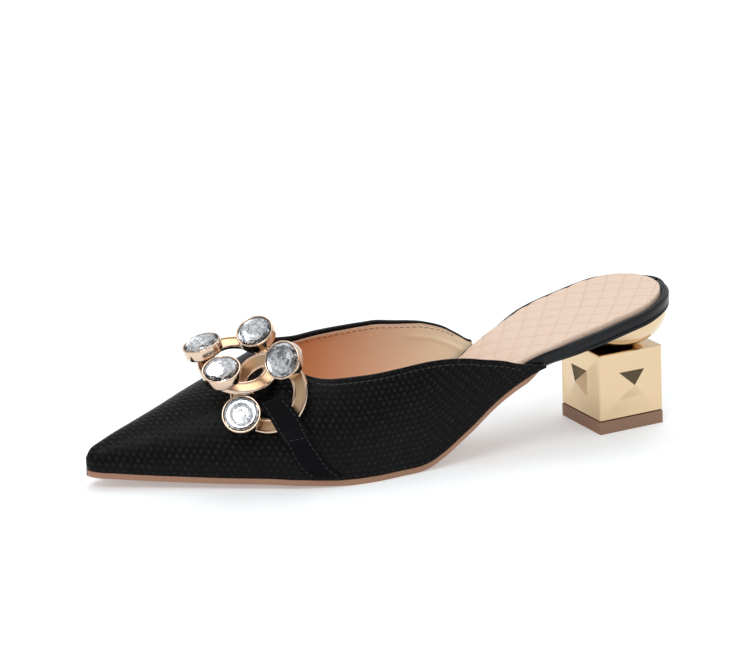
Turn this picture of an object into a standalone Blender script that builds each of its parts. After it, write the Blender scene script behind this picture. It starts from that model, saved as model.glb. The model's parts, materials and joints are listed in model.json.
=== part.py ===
"""Left heeled mule with a pointed toe, a jewelled ring ornament and a cube heel.

The toe points along -X, the outer (lateral) side faces -Y, and the floor is Z = 0.
The origin lies under the middle of the heel. Sizes are in millimetres, and MM turns them into metres.
"""

import math

import bmesh
import bpy
from mathutils import Vector

MM = 0.001
GAP = 0.3

# Main sizes of the last and the shoe
SHOE_LENGTH = 253.8
SEAT_OVERHANG = 22.4
BALL_WIDTH = 73.0
SEAT_RISE = 52.0
INSTEP_HEIGHT = 51.5
TOE_SPRING = 5.2
HEEL_TURN = 10.2
TOE_ROUND = 7.0
SEAT_ROUND = 28.0

# Walls and thicknesses
UPPER_WALL = 1.8
OUTSOLE_THICK = 2.6
BOARD_THICK = 3.9
BOARD_RIM_WIDTH = 3.4
BOARD_RIM_HEIGHT = 1.7
PAD_THICK = 2.0

# Mouth of the shoe
THROAT_AT = 0.292
THROAT_DEPTH = 24.0
COLLAR_HEIGHT = 46.0
OUTER_QUARTER_END = 0.724
INNER_QUARTER_END = 0.682

# Where the sole begins to rise behind the ball, and the ends of the flat pieces along the length
BEND_AT = 0.5
OUTSOLE_END = 0.795
OUTSOLE_BARE_FROM = 0.689
OUTSOLE_BARE_LENGTH = 0.05
OUTSOLE_TUCK = 4.5
OUTSOLE_THIN = 1.4
BOARD_START = 0.045
BOARD_FLARE_LENGTH = 0.06
PAD_START = 0.06
PAD_END = 1 - BOARD_RIM_WIDTH / SHOE_LENGTH

# Roundings of the sole's, the board's and the pad's edges
OUTSOLE_EASE = 0.7
BOARD_EASE = 1.2
RIM_EASE = 0.9
PAD_EASE = 0.6

# How the upper is divided: columns up each side, and steps round the throat as shares of its depth.
# The wall is thicker at the toe tip: TIP_WALLS more walls, fading out over TIP_BLEND of the length
COLUMNS = 8
TIP_WALLS = 2.0
TIP_BLEND = 0.08
THROAT_STEPS = (0.02, 0.08, 0.19, 0.36, 0.60, 0.85)

# Heel: a cube with a raised pyramid on each side, on a brown top piece, under a bowl
HEEL_SIDE = 32.0
HEEL_WIDTH = 30.0
HEEL_CUBE_HEIGHT = 30.0
TOP_PIECE_HEIGHT = 5.6
HEEL_LEAN = 2.2
STUD_BORDER = 2.8
STUD_HEIGHT = 2.8
BOWL_MIDDLE = 3.0
BOWL_LENGTH = 49.0
BOWL_WIDTH = 50.0
BOWL_FOOT = 0.32
BOWL_RINGS = 7
BOWL_SIDES = 28

# Ornament: two linked rings with a groove round their face, and crystals in bezels on them
RING_OUTER = 32.8
RING_INNER = 20.8
RING_THICK = 2.2
RING_RIM = 1.3
RING_GROOVE = 0.5
RING_SIDES = 36
BEZEL_WIDTH = 15.8
BEZEL_HEIGHT = 5.0
BEZEL_WALL = 0.8
BEZEL_FLOOR = 1.2
CRYSTAL_POINT = 2.0
STEM_WIDTH = 4.4
BEZEL_SIDES = 20
CRYSTAL_SIDES = 16

# Strap from the sole over the outer ring
STRAP_THICK = 1.2
STRAP_CLEAR = 0.55
STRAP_ROWS = 16
STRAP_COLUMNS = 4

# Plan of the sole, a row for each section: where it lies along the length from the toe tip, the middle's
# offset and the half width as shares of the ball width, and the section's turn as a share of HEEL_TURN
PLAN = (
    # along, middle, half, turn
    (0.000, 0.000, 0.068, 0.0),
    (0.028, 0.012, 0.096, 0.0),
    (0.064, 0.022, 0.149, 0.0),
    (0.123, 0.034, 0.233, 0.0),
    (0.201, 0.041, 0.349, 0.0),
    (0.260, 0.041, 0.425, 0.0),
    (0.319, 0.027, 0.486, 0.0),
    (0.378, 0.007, 0.500, 0.0),
    (0.436, -0.027, 0.466, 0.0),
    (0.495, -0.066, 0.390, 0.1),
    (0.554, -0.112, 0.315, 0.3),
    (0.613, -0.144, 0.281, 0.6),
    (0.672, -0.141, 0.285, 0.9),
    (0.714, -0.122, 0.303, 1.0),
    (0.753, -0.097, 0.336, 1.0),
    (0.830, -0.049, 0.371, 1.0),
    (0.907, 0.000, 0.370, 1.0),
    (1.000, 0.058, 0.370, 1.0),
)

# Height of the underside of the sole, as shares of the toe spring and of the rise of the seat
PROFILE = (
    # along, spring, rise
    (0.000, 1.00, 0.000),
    (0.034, 0.88, 0.000),
    (0.123, 0.60, 0.000),
    (0.201, 0.48, 0.000),
    (0.260, 0.42, 0.000),
    (0.319, 0.29, 0.000),
    (0.364, 0.12, 0.000),
    (0.400, 0.02, 0.000),
    (0.425, 0.00, 0.000),
    (0.510, 0.00, 0.000),
    (0.533, 0.00, 0.022),
    (0.558, 0.00, 0.092),
    (0.584, 0.00, 0.200),
    (0.609, 0.00, 0.310),
    (0.633, 0.00, 0.430),
    (0.657, 0.00, 0.532),
    (0.682, 0.00, 0.616),
    (0.707, 0.00, 0.680),
    (0.753, 0.00, 0.762),
    (0.791, 0.00, 0.823),
    (0.830, 0.00, 0.871),
    (0.869, 0.00, 0.916),
    (0.907, 0.00, 0.959),
    (0.938, 0.00, 0.998),
    (1.000, 0.00, 1.052),
)

# Crest of the last, as a share of the instep height, its shift to the inner side as a share of the
# half width, and the fullness of the section (2 is an ellipse, more is squarer)
CREST = (
    # along, height, shift, fullness
    (0.000, 0.250, 0.00, 2.0),
    (0.009, 0.318, 0.00, 2.0),
    (0.025, 0.358, 0.00, 2.0),
    (0.050, 0.415, 0.00, 2.0),
    (0.076, 0.465, 0.02, 2.0),
    (0.127, 0.566, 0.05, 2.0),
    (0.178, 0.676, 0.07, 2.0),
    (0.240, 0.800, 0.08, 2.05),
    (0.292, 0.910, 0.08, 2.1),
    (0.360, 1.080, 0.08, 2.2),
    (0.437, 1.200, 0.08, 2.3),
    (0.515, 1.290, 0.06, 2.3),
    (0.593, 1.350, 0.05, 2.3),
    (0.670, 1.390, 0.03, 2.3),
    (0.750, 1.400, 0.00, 2.3),
)

# Height of the top line above the floor on each side, as shares of the collar height
COLLAR = (
    # along, outer, inner
    (0.292, 0.900, 0.980),
    (0.345, 0.905, 0.975),
    (0.378, 0.922, 0.985),
    (0.417, 0.934, 1.030),
    (0.456, 0.944, 1.075),
    (0.487, 0.957, 1.115),
    (0.515, 0.972, 1.142),
    (0.543, 0.986, 1.142),
    (0.573, 0.993, 1.135),
    (0.600, 0.985, 1.105),
    (0.622, 0.965, 1.060),
    (0.655, 0.934, 0.955),
    (0.682, 0.888, 0.870),
    (0.724, 0.846, 0.846),
)

# Rings of the ornament, outer one first. Each stands over a place of the last, given along the length and
# by its angle from the outer feather edge in degrees, lifted by a share of RING_OUTER. Its axis leans
# from the last's own direction towards the heel and up the side by the two slopes
RINGS = (
    # along, angle, lift, lean_back, lean_up
    (0.2904, 46.7, 0.183, -0.174, -0.277),
    (0.2582, 67.7, 0.284, 0.447, -0.046),
)

# Crystals, a row for each: the number of its ring, the way round the ring in degrees from the side nearest
# to the heel, the distance from the ring's middle as a share of its radius, the length of its stem as a
# share of the bezel's height, and the two slopes by which its axis leans from the ring's
CRYSTALS = (
    # ring, around, reach, stem, lean_first, lean_second
    (1, 155.6, 0.851, 0.46, -0.360, 0.432),
    (1, 39.0, 0.855, 0.71, -0.518, 0.012),
    (0, 35.2, 0.919, 0.39, -0.142, 0.162),
    (1, -135.5, 0.844, 0.51, -0.276, 0.093),
    (0, -153.0, 0.847, 0.43, 0.266, 0.203),
)

# Edges of the strap along the length, at angles up the side in degrees
STRAP = (
    # angle, front, back
    (1.1, 0.333, 0.384),
    (4.1, 0.318, 0.366),
    (10.5, 0.306, 0.351),
    (18.2, 0.299, 0.336),
    (29.0, 0.289, 0.325),
    (37.4, 0.279, 0.315),
    (43.0, 0.273, 0.307),
)

# Finishes, in the order colour, metallic and roughness
FINISHES = {
    "upper_black": ((0.012, 0.012, 0.013), 0.0, 0.5),
    "board_black": ((0.015, 0.016, 0.018), 0.0, 0.3),
    "nude_lining": ((0.80, 0.55, 0.40), 0.0, 0.6),
    "nude_sole": ((0.40, 0.20, 0.12), 0.0, 0.55),
    "pale_gold": ((0.85, 0.66, 0.42), 1.0, 0.12),
    "rose_gold": ((0.90, 0.60, 0.38), 1.0, 0.15),
    "tip_brown": ((0.33, 0.19, 0.11), 0.0, 0.6),
    "suede_black": ((0.010, 0.010, 0.011), 0.0, 0.85),
    "clear_glass": ((0.85, 0.90, 0.95), 0.0, 0.02),
}


def read_table(table, column):
    """A smooth curve through one column of a table, which never overshoots its rows."""
    places = [row[0] for row in table]
    values = [row[column] for row in table]
    steps = [
        (b - a) / (q - p)
        for p, q, a, b in zip(places, places[1:], values, values[1:])
    ]
    slopes = [steps[0]]
    for before, after in zip(steps, steps[1:]):
        same_way = before * after > 0
        slopes.append(2 * before * after / (before + after) if same_way else 0.0)
    slopes.append(steps[-1])

    def curve(place):
        place = min(max(place, places[0]), places[-1])
        k = max(i for i in range(len(places) - 1) if places[i] <= place)
        span = places[k + 1] - places[k]
        s = (place - places[k]) / span
        return (
            values[k] * (1 + 2 * s) * (1 - s) ** 2
            + values[k + 1] * s * s * (3 - 2 * s)
            + span * (slopes[k] * s * (1 - s) ** 2 - slopes[k + 1] * s * s * (1 - s))
        )

    return curve


plan_middle = read_table(PLAN, 1)
plan_half = read_table(PLAN, 2)
plan_turn = read_table(PLAN, 3)
spring_curve = read_table(PROFILE, 1)
rise_curve = read_table(PROFILE, 2)
crest_height = read_table(CREST, 1)
crest_shift = read_table(CREST, 2)
crest_fullness = read_table(CREST, 3)
outer_collar = read_table(COLLAR, 1)
inner_collar = read_table(COLLAR, 2)
strap_front = read_table(STRAP, 1)
strap_back = read_table(STRAP, 2)


def across(along):
    """Unit vector of a section from the inner to the outer side."""
    turn = math.radians(HEEL_TURN * plan_turn(along))
    return Vector((math.sin(turn), -math.cos(turn), 0.0))


def middle(along):
    """Middle of a section, on the floor."""
    x = SEAT_OVERHANG - SHOE_LENGTH * (1 - along)
    return Vector((x, BALL_WIDTH * plan_middle(along), 0.0))


def rounding(distance, radius):
    """Share of the width left where an end of the outline is rounded off."""
    if distance >= radius:
        return 1.0
    return math.sqrt(max(1 - ((radius - distance) / radius) ** 2, 0.02))


def half_width(along):
    """Half the width of the sole at a section."""
    toe = rounding(along * SHOE_LENGTH, TOE_ROUND)
    seat = rounding((1 - along) * SHOE_LENGTH, SEAT_ROUND)
    return BALL_WIDTH * plan_half(along) * toe * seat


def feather(along):
    """Height of the top of the outsole, on which upper and board rest."""
    lift = SEAT_RISE - OUTSOLE_THICK
    return OUTSOLE_THICK + TOE_SPRING * spring_curve(along) + lift * rise_curve(along)


def ease_in(along, start, length):
    """Rises smoothly from 0 to 1 over a length that begins at start."""
    share = min(max((along - start) / length, 0.0), 1.0)
    return share * share * (3 - 2 * share)


def spaced(start, end, count):
    """Places from start to end, closer together near both."""
    places = []
    for k in range(count + 1):
        even = k / count
        eased = (1 - math.cos(math.pi * even)) / 2
        places.append(start + (end - start) * (0.3 * even + 0.7 * eased))
    return places


STATIONS = (
    spaced(0.0, BEND_AT, 20)[:-1]
    + spaced(BEND_AT, OUTER_QUARTER_END, 16)[:-1]
    + spaced(OUTER_QUARTER_END, 1.0, 17)
)


def stations(start, end):
    """The shared stations from start to end, so that pieces that lie on each other bend alike."""
    return [a for a in STATIONS if start <= a <= end]


def add_object(name, points, faces, finish):
    """A mesh object from points in millimetres."""
    mesh = bpy.data.meshes.new(name)
    mesh.from_pydata([tuple(Vector(p) * MM) for p in points], [], faces)
    mesh.validate()
    shaper = bmesh.new()
    shaper.from_mesh(mesh)
    bmesh.ops.remove_doubles(shaper, verts=shaper.verts, dist=1e-7)
    bmesh.ops.recalc_face_normals(shaper, faces=shaper.faces)
    shaper.to_mesh(mesh)
    shaper.free()
    mesh.shade_smooth()
    mesh.set_sharp_from_angle(angle=math.radians(35))
    obj = bpy.data.objects.new(name, mesh)
    bpy.context.collection.objects.link(obj)
    mesh.materials.append(make_finish(finish))
    return obj


def make_finish(name):
    """The material of one of the FINISHES, made once."""
    material = bpy.data.materials.get(name)
    if material:
        return material
    colour, metallic, roughness = FINISHES[name]
    material = bpy.data.materials.new(name)
    material.use_nodes = True
    shader = material.node_tree.nodes["Principled BSDF"]
    shader.inputs["Base Color"].default_value = (*colour, 1.0)
    shader.inputs["Metallic"].default_value = metallic
    shader.inputs["Roughness"].default_value = roughness
    return material


def loft(rings):
    """Points and faces of a closed body through rings of equal length, with its two ends filled."""
    size = len(rings[0])
    points = [point for ring in rings for point in ring]
    faces = [tuple(range(size))]
    for k in range(len(rings) - 1):
        for i in range(size):
            j = (i + 1) % size
            faces.append((k * size + i, k * size + j, (k + 1) * size + j, (k + 1) * size + i))
    faces.append(tuple(range((len(rings) - 1) * size, len(rings) * size)))
    return points, faces


def wall_between(outer, inner, faces):
    """Points and faces of a wall between two sheets that share their faces."""
    count = len(outer)
    edges = {}
    for face in faces:
        for a, b in zip(face, face[1:] + face[:1]):
            edges[(a, b)] = True
    rim = [(a, b) for a, b in edges if (b, a) not in edges]
    turned = [tuple(count + i for i in reversed(face)) for face in faces]
    sides = [(b, a, a + count, b + count) for a, b in rim]
    return list(outer) + list(inner), list(faces) + turned + sides


# Outsole

def section_ring(along, half, bottom, top, round_by):
    """A flat section with eased edges, from the outer side over the top to the inner side."""
    side = across(along)
    centre = middle(along)
    ease = min(round_by, half * 0.4, (top - bottom) * 0.45)
    outline = (
        (half - ease, bottom),
        (half, bottom + ease),
        (half, top - ease * 0.4),
        (half - ease * 0.4, top),
        (0.0, top),
        (-half + ease * 0.4, top),
        (-half, top - ease * 0.4),
        (-half, bottom + ease),
        (-half + ease, bottom),
        (0.0, bottom),
    )
    return [centre + side * s + Vector((0, 0, z)) for s, z in outline]


def outsole_ring(along):
    """The outsole thins and slips in under the board behind the quarters."""
    bare = ease_in(along, OUTSOLE_BARE_FROM, OUTSOLE_BARE_LENGTH)
    half = half_width(along) - OUTSOLE_TUCK * bare
    thick = OUTSOLE_THICK - (OUTSOLE_THICK - OUTSOLE_THIN) * bare
    return section_ring(along, half, feather(along) - thick, feather(along), OUTSOLE_EASE)


def make_outsole():
    rings = [outsole_ring(a) for a in stations(0.0, OUTSOLE_END)]
    add_object("outsole", *loft(rings), "nude_sole")


# Upper

def last_point(along, angle, wall):
    """A point of the last: angle 0 is the outer feather edge, 90 degrees the crest, 180 the inner edge."""
    side = across(along)
    half = half_width(along) - wall
    base = feather(along) + GAP
    height = INSTEP_HEIGHT * crest_height(along) - base - wall
    power = 2 / crest_fullness(along)
    out = math.copysign(abs(math.cos(angle)) ** power, math.cos(angle))
    up = abs(math.sin(angle)) ** power
    shift = crest_shift(along) * half * up ** 2
    point = middle(along) + side * (half * out - shift)
    return point + Vector((0, 0, base + height * up))


def collar_angle(along, curve):
    """Angle at which a side of the last reaches its top line."""
    base = feather(along) + GAP
    height = INSTEP_HEIGHT * crest_height(along) - base
    share = (COLLAR_HEIGHT * curve(along) - base) / height
    share = min(max(share, 0.03), 1.0)
    return math.asin(share ** (crest_fullness(along) / 2))


def mouth_open(along):
    """How far the mouth has opened behind the throat, from 0 to 1, as a quarter ellipse."""
    share = min((along - THROAT_AT) * SHOE_LENGTH / THROAT_DEPTH, 1.0)
    return math.sqrt(max(share * (2 - share), 0.0))


def strip(along, wall, curve, from_inner):
    """Points up one side of the last, from its feather edge to its top line."""
    crest = math.pi / 2
    reach = crest - (crest - collar_angle(along, curve)) * mouth_open(along)
    angles = [reach * i / COLUMNS for i in range(COLUMNS + 1)]
    if from_inner:
        angles = [math.pi - angle for angle in reversed(angles)]
    return [last_point(along, angle, wall) for angle in angles]


def upper_rows(wall):
    """Rows of points over the last: whole arches before the throat, two strips behind it."""
    rows = []
    for along in ARCH_STATIONS:
        place = along + TIP_WALLS * wall * max(1 - along / TIP_BLEND, 0.0) ** 2 / SHOE_LENGTH
        angles = [math.pi * i / (2 * COLUMNS) for i in range(2 * COLUMNS + 1)]
        rows.append([last_point(place, angle, wall) for angle in angles])
    shorter = (INNER_QUARTER_END - THROAT_AT) / (OUTER_QUARTER_END - THROAT_AT)
    for along in QUARTER_STATIONS:
        inner = THROAT_AT + (along - THROAT_AT) * shorter
        row = strip(along, wall, outer_collar, False) + strip(inner, wall, inner_collar, True)
        rows.append(row)
    return rows


THROAT_REACH = THROAT_DEPTH / SHOE_LENGTH
ARCH_STATIONS = stations(0.0, THROAT_AT - 0.005) + [THROAT_AT]
QUARTER_STATIONS = (
    [THROAT_AT + THROAT_REACH * step for step in THROAT_STEPS]
    + stations(THROAT_AT + THROAT_REACH, OUTER_QUARTER_END - 0.005)
    + [OUTER_QUARTER_END]
)


def upper_faces():
    """Faces between the rows of the upper, with the toe's front closed."""
    arch = 2 * COLUMNS + 1
    faces = []
    for i in range(COLUMNS - 1):
        faces.append((i, i + 1, arch - 2 - i, arch - 1 - i))
    faces.append((COLUMNS - 1, COLUMNS, COLUMNS + 1))
    for k in range(len(ARCH_STATIONS) - 1):
        for i in range(arch - 1):
            a = k * arch + i
            faces.append((a, a + arch, a + arch + 1, a + 1))
    start = (len(ARCH_STATIONS) - 1) * arch
    after = start + arch
    width = arch + 1
    for i in range(arch - 1):
        low = after + i + (1 if i >= COLUMNS else 0)
        faces.append((start + i, low, low + 1, start + i + 1))
    for k in range(len(QUARTER_STATIONS) - 1):
        for i in list(range(COLUMNS)) + list(range(COLUMNS + 1, width - 1)):
            a = after + k * width + i
            faces.append((a, a + width, a + width + 1, a + 1))
    return faces


def make_upper():
    outer = [point for row in upper_rows(0.0) for point in row]
    inner = [point for row in upper_rows(UPPER_WALL) for point in row]
    add_object("upper", *wall_between(outer, inner, upper_faces()), "upper_black")


# Board and pad of the footbed

def board_half(along):
    """Half width of the board: inside the upper in front, and flush with it behind the quarters."""
    bare = ease_in(along, OUTER_QUARTER_END, BOARD_FLARE_LENGTH)
    return half_width(along) - (UPPER_WALL + 2 * GAP) * (1 - bare)


def well_half(along):
    """Half width of the well in the board, which the raised rim leaves for the pad."""
    seat = rounding((PAD_END - along) * SHOE_LENGTH, SEAT_ROUND - BOARD_RIM_WIDTH)
    toe = rounding(along * SHOE_LENGTH, TOE_ROUND)
    return (BALL_WIDTH * plan_half(along) * toe - BOARD_RIM_WIDTH) * seat


def board_ring(along):
    """A section of the board: a well between two raised rims, and full height behind the pad."""
    side = across(along)
    centre = middle(along)
    half = board_half(along)
    low = feather(along) + GAP
    flat = low + BOARD_THICK
    rim = flat + BOARD_RIM_HEIGHT
    behind_pad = along >= PAD_END
    well = half * 0.4 if behind_pad else well_half(along)
    floor = rim - GAP if behind_pad else flat
    right = [
        (half - BOARD_EASE, low),
        (half - BOARD_EASE * 0.1, low + BOARD_EASE),
        (half, flat),
        (half - RIM_EASE * 0.4, rim - RIM_EASE),
        (half - RIM_EASE * 1.5, rim),
        (well + RIM_EASE, rim - RIM_EASE * 0.2),
        (well, max(floor, rim - RIM_EASE)),
        (well - GAP, floor),
    ]
    left = [(-s, z) for s, z in reversed(right)]
    outline = [(0.0, low)] + right + [(0.0, floor)] + left
    return [centre + side * s + Vector((0, 0, z)) for s, z in outline]


def make_board():
    rings = [board_ring(a) for a in stations(BOARD_START, 1.0)]
    add_object("footbed_board", *loft(rings), "board_black")


def make_pad():
    rings = []
    for a in stations(PAD_START, PAD_END):
        low = feather(a) + 2 * GAP + BOARD_THICK
        rings.append(section_ring(a, well_half(a) - 2 * GAP, low, low + PAD_THICK, PAD_EASE))
    add_object("sock_pad", *loft(rings), "nude_lining")


# Heel

def heel_point(forward, outward, height):
    """A place by its way forward and outward from the heel's own middle, which leans a little."""
    turn = math.radians(HEEL_TURN)
    ahead = Vector((-math.cos(turn), -math.sin(turn), 0.0))
    side = Vector((math.sin(turn), -math.cos(turn), 0.0))
    lean = math.tan(math.radians(HEEL_LEAN)) * height
    return ahead * (forward + lean) + side * outward + Vector((0, 0, height))


def make_top_piece():
    half_long = HEEL_SIDE / 2
    half_wide = HEEL_WIDTH / 2
    corners = ((1, 1), (1, -1), (-1, -1), (-1, 1))
    rings = [
        [heel_point(half_long * i, half_wide * j, z) for i, j in corners]
        for z in (0.0, TOP_PIECE_HEIGHT)
    ]
    add_object("heel_top_piece", *loft(rings), "tip_brown")


def make_heel_cube():
    low = TOP_PIECE_HEIGHT + GAP
    high = TOP_PIECE_HEIGHT + HEEL_CUBE_HEIGHT
    corners = ((1, 1), (1, -1), (-1, -1), (-1, 1))
    half = (HEEL_SIDE / 2, HEEL_WIDTH / 2)
    points = [heel_point(half[0] * i, half[1] * j, z) for z in (low, high) for i, j in corners]
    faces = [(0, 1, 2, 3), (7, 6, 5, 4)]
    for k in range(4):
        after = (k + 1) % 4
        frame = [points[k], points[after], points[after + 4], points[k + 4]]
        centre = sum(frame, Vector()) / 4
        run = (frame[1] - frame[0]).normalized()
        rise = (frame[3] - frame[0]).normalized()
        out = run.cross(rise).normalized()
        if out.dot(centre - heel_point(0, 0, centre.z)) < 0:
            out = -out
        start = len(points)
        for corner, (i, j) in zip(frame, ((1, 1), (-1, 1), (-1, -1), (1, -1))):
            points.append(corner + run * STUD_BORDER * i + rise * STUD_BORDER * j)
        points.append(centre + out * STUD_HEIGHT)
        outer = (k, after, after + 4, k + 4)
        for i in range(4):
            j = (i + 1) % 4
            faces.append((outer[i], outer[j], start + j, start + i))
            faces.append((start + i, start + j, start + 4))
    add_object("heel_cube", points, faces, "pale_gold")


def station_of(forward):
    """The station at a way forward of the heel's middle."""
    x = -forward * math.cos(math.radians(HEEL_TURN))
    return 1 + (x - SEAT_OVERHANG) / SHOE_LENGTH


def make_heel_bowl():
    foot = TOP_PIECE_HEIGHT + HEEL_CUBE_HEIGHT + GAP
    deepest = math.acos(BOWL_FOOT)
    lean_back = math.tan(math.radians(HEEL_LEAN))
    rings = []
    for k in range(BOWL_RINGS + 1):
        depth = deepest * k / BOWL_RINGS
        sunk = math.sin(depth) / math.sin(deepest)
        ring = []
        for i in range(BOWL_SIDES):
            turn = 2 * math.pi * i / BOWL_SIDES
            forward = BOWL_MIDDLE * (1 - sunk) + BOWL_LENGTH / 2 * math.cos(turn) * math.cos(depth)
            outward = BOWL_WIDTH / 2 * math.sin(turn) * math.cos(depth)
            top = feather(station_of(forward))
            height = foot + (top - foot) * (1 - sunk)
            ring.append(heel_point(forward - lean_back * height, outward, height))
        rings.append(ring)
    add_object("heel_bowl", *loft(rings), "pale_gold")


# Ornament

def last_frame(along, angle):
    """A place on the last, with the directions out of it, towards the heel and up the side."""
    step = 0.002
    back = last_point(along + step, angle, 0.0) - last_point(along - step, angle, 0.0)
    back.normalize()
    up = last_point(along, angle + step, 0.0) - last_point(along, angle - step, 0.0)
    out = back.cross(up).normalized()
    return last_point(along, angle, 0.0), out, back, out.cross(back)


def ring_frame(number):
    """Middle of a ring, its axis and the two directions of its plane."""
    along, degrees, lift, lean_back, lean_up = RINGS[number]
    place, out, back, up = last_frame(along, math.radians(degrees))
    axis = (out + back * lean_back + up * lean_up).normalized()
    first = (back - axis * back.dot(axis)).normalized()
    return place + out * lift * RING_OUTER, axis, first, axis.cross(first)


def circle(frame, radius, height, sides):
    """A ring of points round a frame's axis."""
    centre, axis, first, second = frame
    turns = [2 * math.pi * i / sides for i in range(sides)]
    return [
        centre + axis * height + (first * math.cos(t) + second * math.sin(t)) * radius
        for t in turns
    ]


def make_ring(name, number):
    frame = ring_frame(number)
    inner = RING_INNER / 2
    outer = RING_OUTER / 2
    top = RING_THICK / 2
    ease = RING_THICK * 0.2
    profile = (
        (inner + ease, -top),
        (outer - ease, -top),
        (outer, -top + ease),
        (outer, top - ease),
        (outer - ease, top),
        (outer - RING_RIM, top - RING_GROOVE),
        (inner + RING_RIM, top - RING_GROOVE),
        (inner + ease, top),
        (inner, top - ease),
        (inner, -top + ease),
    )
    hoops = [circle(frame, radius, height, RING_SIDES) for radius, height in profile]
    points = [point for hoop in hoops for point in hoop]
    faces = []
    for k in range(len(hoops)):
        below = k * RING_SIDES
        above = (k + 1) % len(hoops) * RING_SIDES
        for i in range(RING_SIDES):
            j = (i + 1) % RING_SIDES
            faces.append((below + i, below + j, above + j, above + i))
    add_object(name, points, faces, "rose_gold")


def crystal_frames(ring, around, reach, stem, lean_first, lean_second):
    """The frame of a stem's foot on the face of its ring, and the leaning frame of its bezel."""
    centre, axis, first, second = ring_frame(ring)
    turn = math.radians(around)
    way = first * math.cos(turn) + second * math.sin(turn)
    foot = centre + axis * (RING_THICK / 2 + GAP) + way * reach * RING_OUTER / 2
    tilted = (axis + first * lean_first + second * lean_second).normalized()
    across_it = (first - tilted * first.dot(tilted)).normalized()
    seat = foot + axis * stem * BEZEL_HEIGHT
    return (foot, axis, first, second), (seat, tilted, across_it, tilted.cross(across_it))


def make_crystals():
    """A cup on a stem, with a pointed crystal in it, for each row of the table."""
    outer = BEZEL_WIDTH / 2
    inner = outer - BEZEL_WALL
    stone = inner - GAP
    cup = (
        (STEM_WIDTH / 2, 0.0),
        (outer - BEZEL_WALL, 0.0),
        (outer, BEZEL_WALL),
        (outer, BEZEL_HEIGHT),
        (inner, BEZEL_HEIGHT),
        (inner, BEZEL_FLOOR),
    )
    cut = (
        (stone * 0.6, BEZEL_FLOOR + GAP),
        (stone, BEZEL_HEIGHT * 0.6),
        (stone, BEZEL_HEIGHT),
        (stone * 0.5, BEZEL_HEIGHT + CRYSTAL_POINT * 0.7),
        (stone * 0.05, BEZEL_HEIGHT + CRYSTAL_POINT),
    )
    for number, row in enumerate(CRYSTALS, 1):
        foot, frame = crystal_frames(*row)
        cup_rings = [circle(foot, STEM_WIDTH / 2, 0.0, BEZEL_SIDES)]
        cup_rings += [circle(frame, radius, height, BEZEL_SIDES) for radius, height in cup]
        add_object(f"bezel_{number}", *loft(cup_rings), "rose_gold")
        cut_rings = [circle(frame, radius, height, CRYSTAL_SIDES) for radius, height in cut]
        add_object(f"crystal_{number}", *loft(cut_rings), "clear_glass")


def lift_over_ring(place, out):
    """Height over a place of the last at which the strap clears the outer ring."""
    centre, axis, _, _ = ring_frame(0)
    for step in range(60, 0, -1):
        lift = step * 0.2
        way = place + out * lift - centre
        high = way.dot(axis)
        spread = (way - axis * high).length
        beside = max(RING_INNER / 2 - spread, spread - RING_OUTER / 2)
        if max(beside, abs(high) - RING_THICK / 2) < STRAP_CLEAR:
            return lift + 0.2
    return GAP


def make_strap():
    """A strap that rises from the sole close to the upper and folds over the outer ring."""
    rows = []
    for k in range(STRAP_ROWS + 1):
        degrees = STRAP[0][0] + (STRAP[-1][0] - STRAP[0][0]) * k / STRAP_ROWS
        front = strap_front(degrees)
        back = strap_back(degrees)
        row = []
        for i in range(STRAP_COLUMNS + 1):
            along = front + (back - front) * i / STRAP_COLUMNS
            row.append(last_frame(along, math.radians(degrees))[:2])
        rows.append(row)
    needed = [max(lift_over_ring(place, out) for place, out in row) for row in rows]
    lifts = [max(needed[max(k - 1, 0):k + 2]) for k in range(len(needed))]
    under = [p + out * lift for row, lift in zip(rows, lifts) for p, out in row]
    over = [p + out * (lift + STRAP_THICK) for row, lift in zip(rows, lifts) for p, out in row]
    width = STRAP_COLUMNS + 1
    faces = []
    for k in range(STRAP_ROWS):
        for i in range(STRAP_COLUMNS):
            a = k * width + i
            faces.append((a, a + 1, a + 1 + width, a + width))
    add_object("strap", *wall_between(over, under, faces), "suede_black")


def main():
    for obj in list(bpy.data.objects):
        bpy.data.objects.remove(obj, do_unlink=True)
    make_outsole()
    make_upper()
    make_board()
    make_pad()
    make_top_piece()
    make_heel_cube()
    make_heel_bowl()
    make_ring("ring_outer", 0)
    make_ring("ring_inner", 1)
    make_crystals()
    make_strap()


main()
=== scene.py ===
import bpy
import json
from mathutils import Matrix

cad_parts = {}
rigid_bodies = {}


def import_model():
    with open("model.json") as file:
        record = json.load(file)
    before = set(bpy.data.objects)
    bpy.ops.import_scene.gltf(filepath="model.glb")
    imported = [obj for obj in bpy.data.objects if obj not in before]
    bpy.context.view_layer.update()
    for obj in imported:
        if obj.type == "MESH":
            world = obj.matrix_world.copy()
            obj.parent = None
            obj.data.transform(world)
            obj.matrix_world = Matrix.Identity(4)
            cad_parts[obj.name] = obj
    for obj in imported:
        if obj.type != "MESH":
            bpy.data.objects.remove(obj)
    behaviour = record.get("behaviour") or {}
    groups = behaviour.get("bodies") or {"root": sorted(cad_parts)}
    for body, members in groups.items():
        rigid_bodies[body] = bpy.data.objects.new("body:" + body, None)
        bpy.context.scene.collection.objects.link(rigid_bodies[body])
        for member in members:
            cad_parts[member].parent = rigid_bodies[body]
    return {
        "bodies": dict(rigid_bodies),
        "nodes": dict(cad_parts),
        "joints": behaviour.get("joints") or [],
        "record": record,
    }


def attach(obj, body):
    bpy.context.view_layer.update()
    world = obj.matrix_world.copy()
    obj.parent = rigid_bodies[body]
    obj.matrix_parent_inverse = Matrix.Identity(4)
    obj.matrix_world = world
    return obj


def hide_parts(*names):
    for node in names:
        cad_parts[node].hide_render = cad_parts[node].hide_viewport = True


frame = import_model()

"""Left heeled mule, dressed: dotted black upper, tan lining, quilted pad, gold heel and jewelled rings."""

import json
import math

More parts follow.
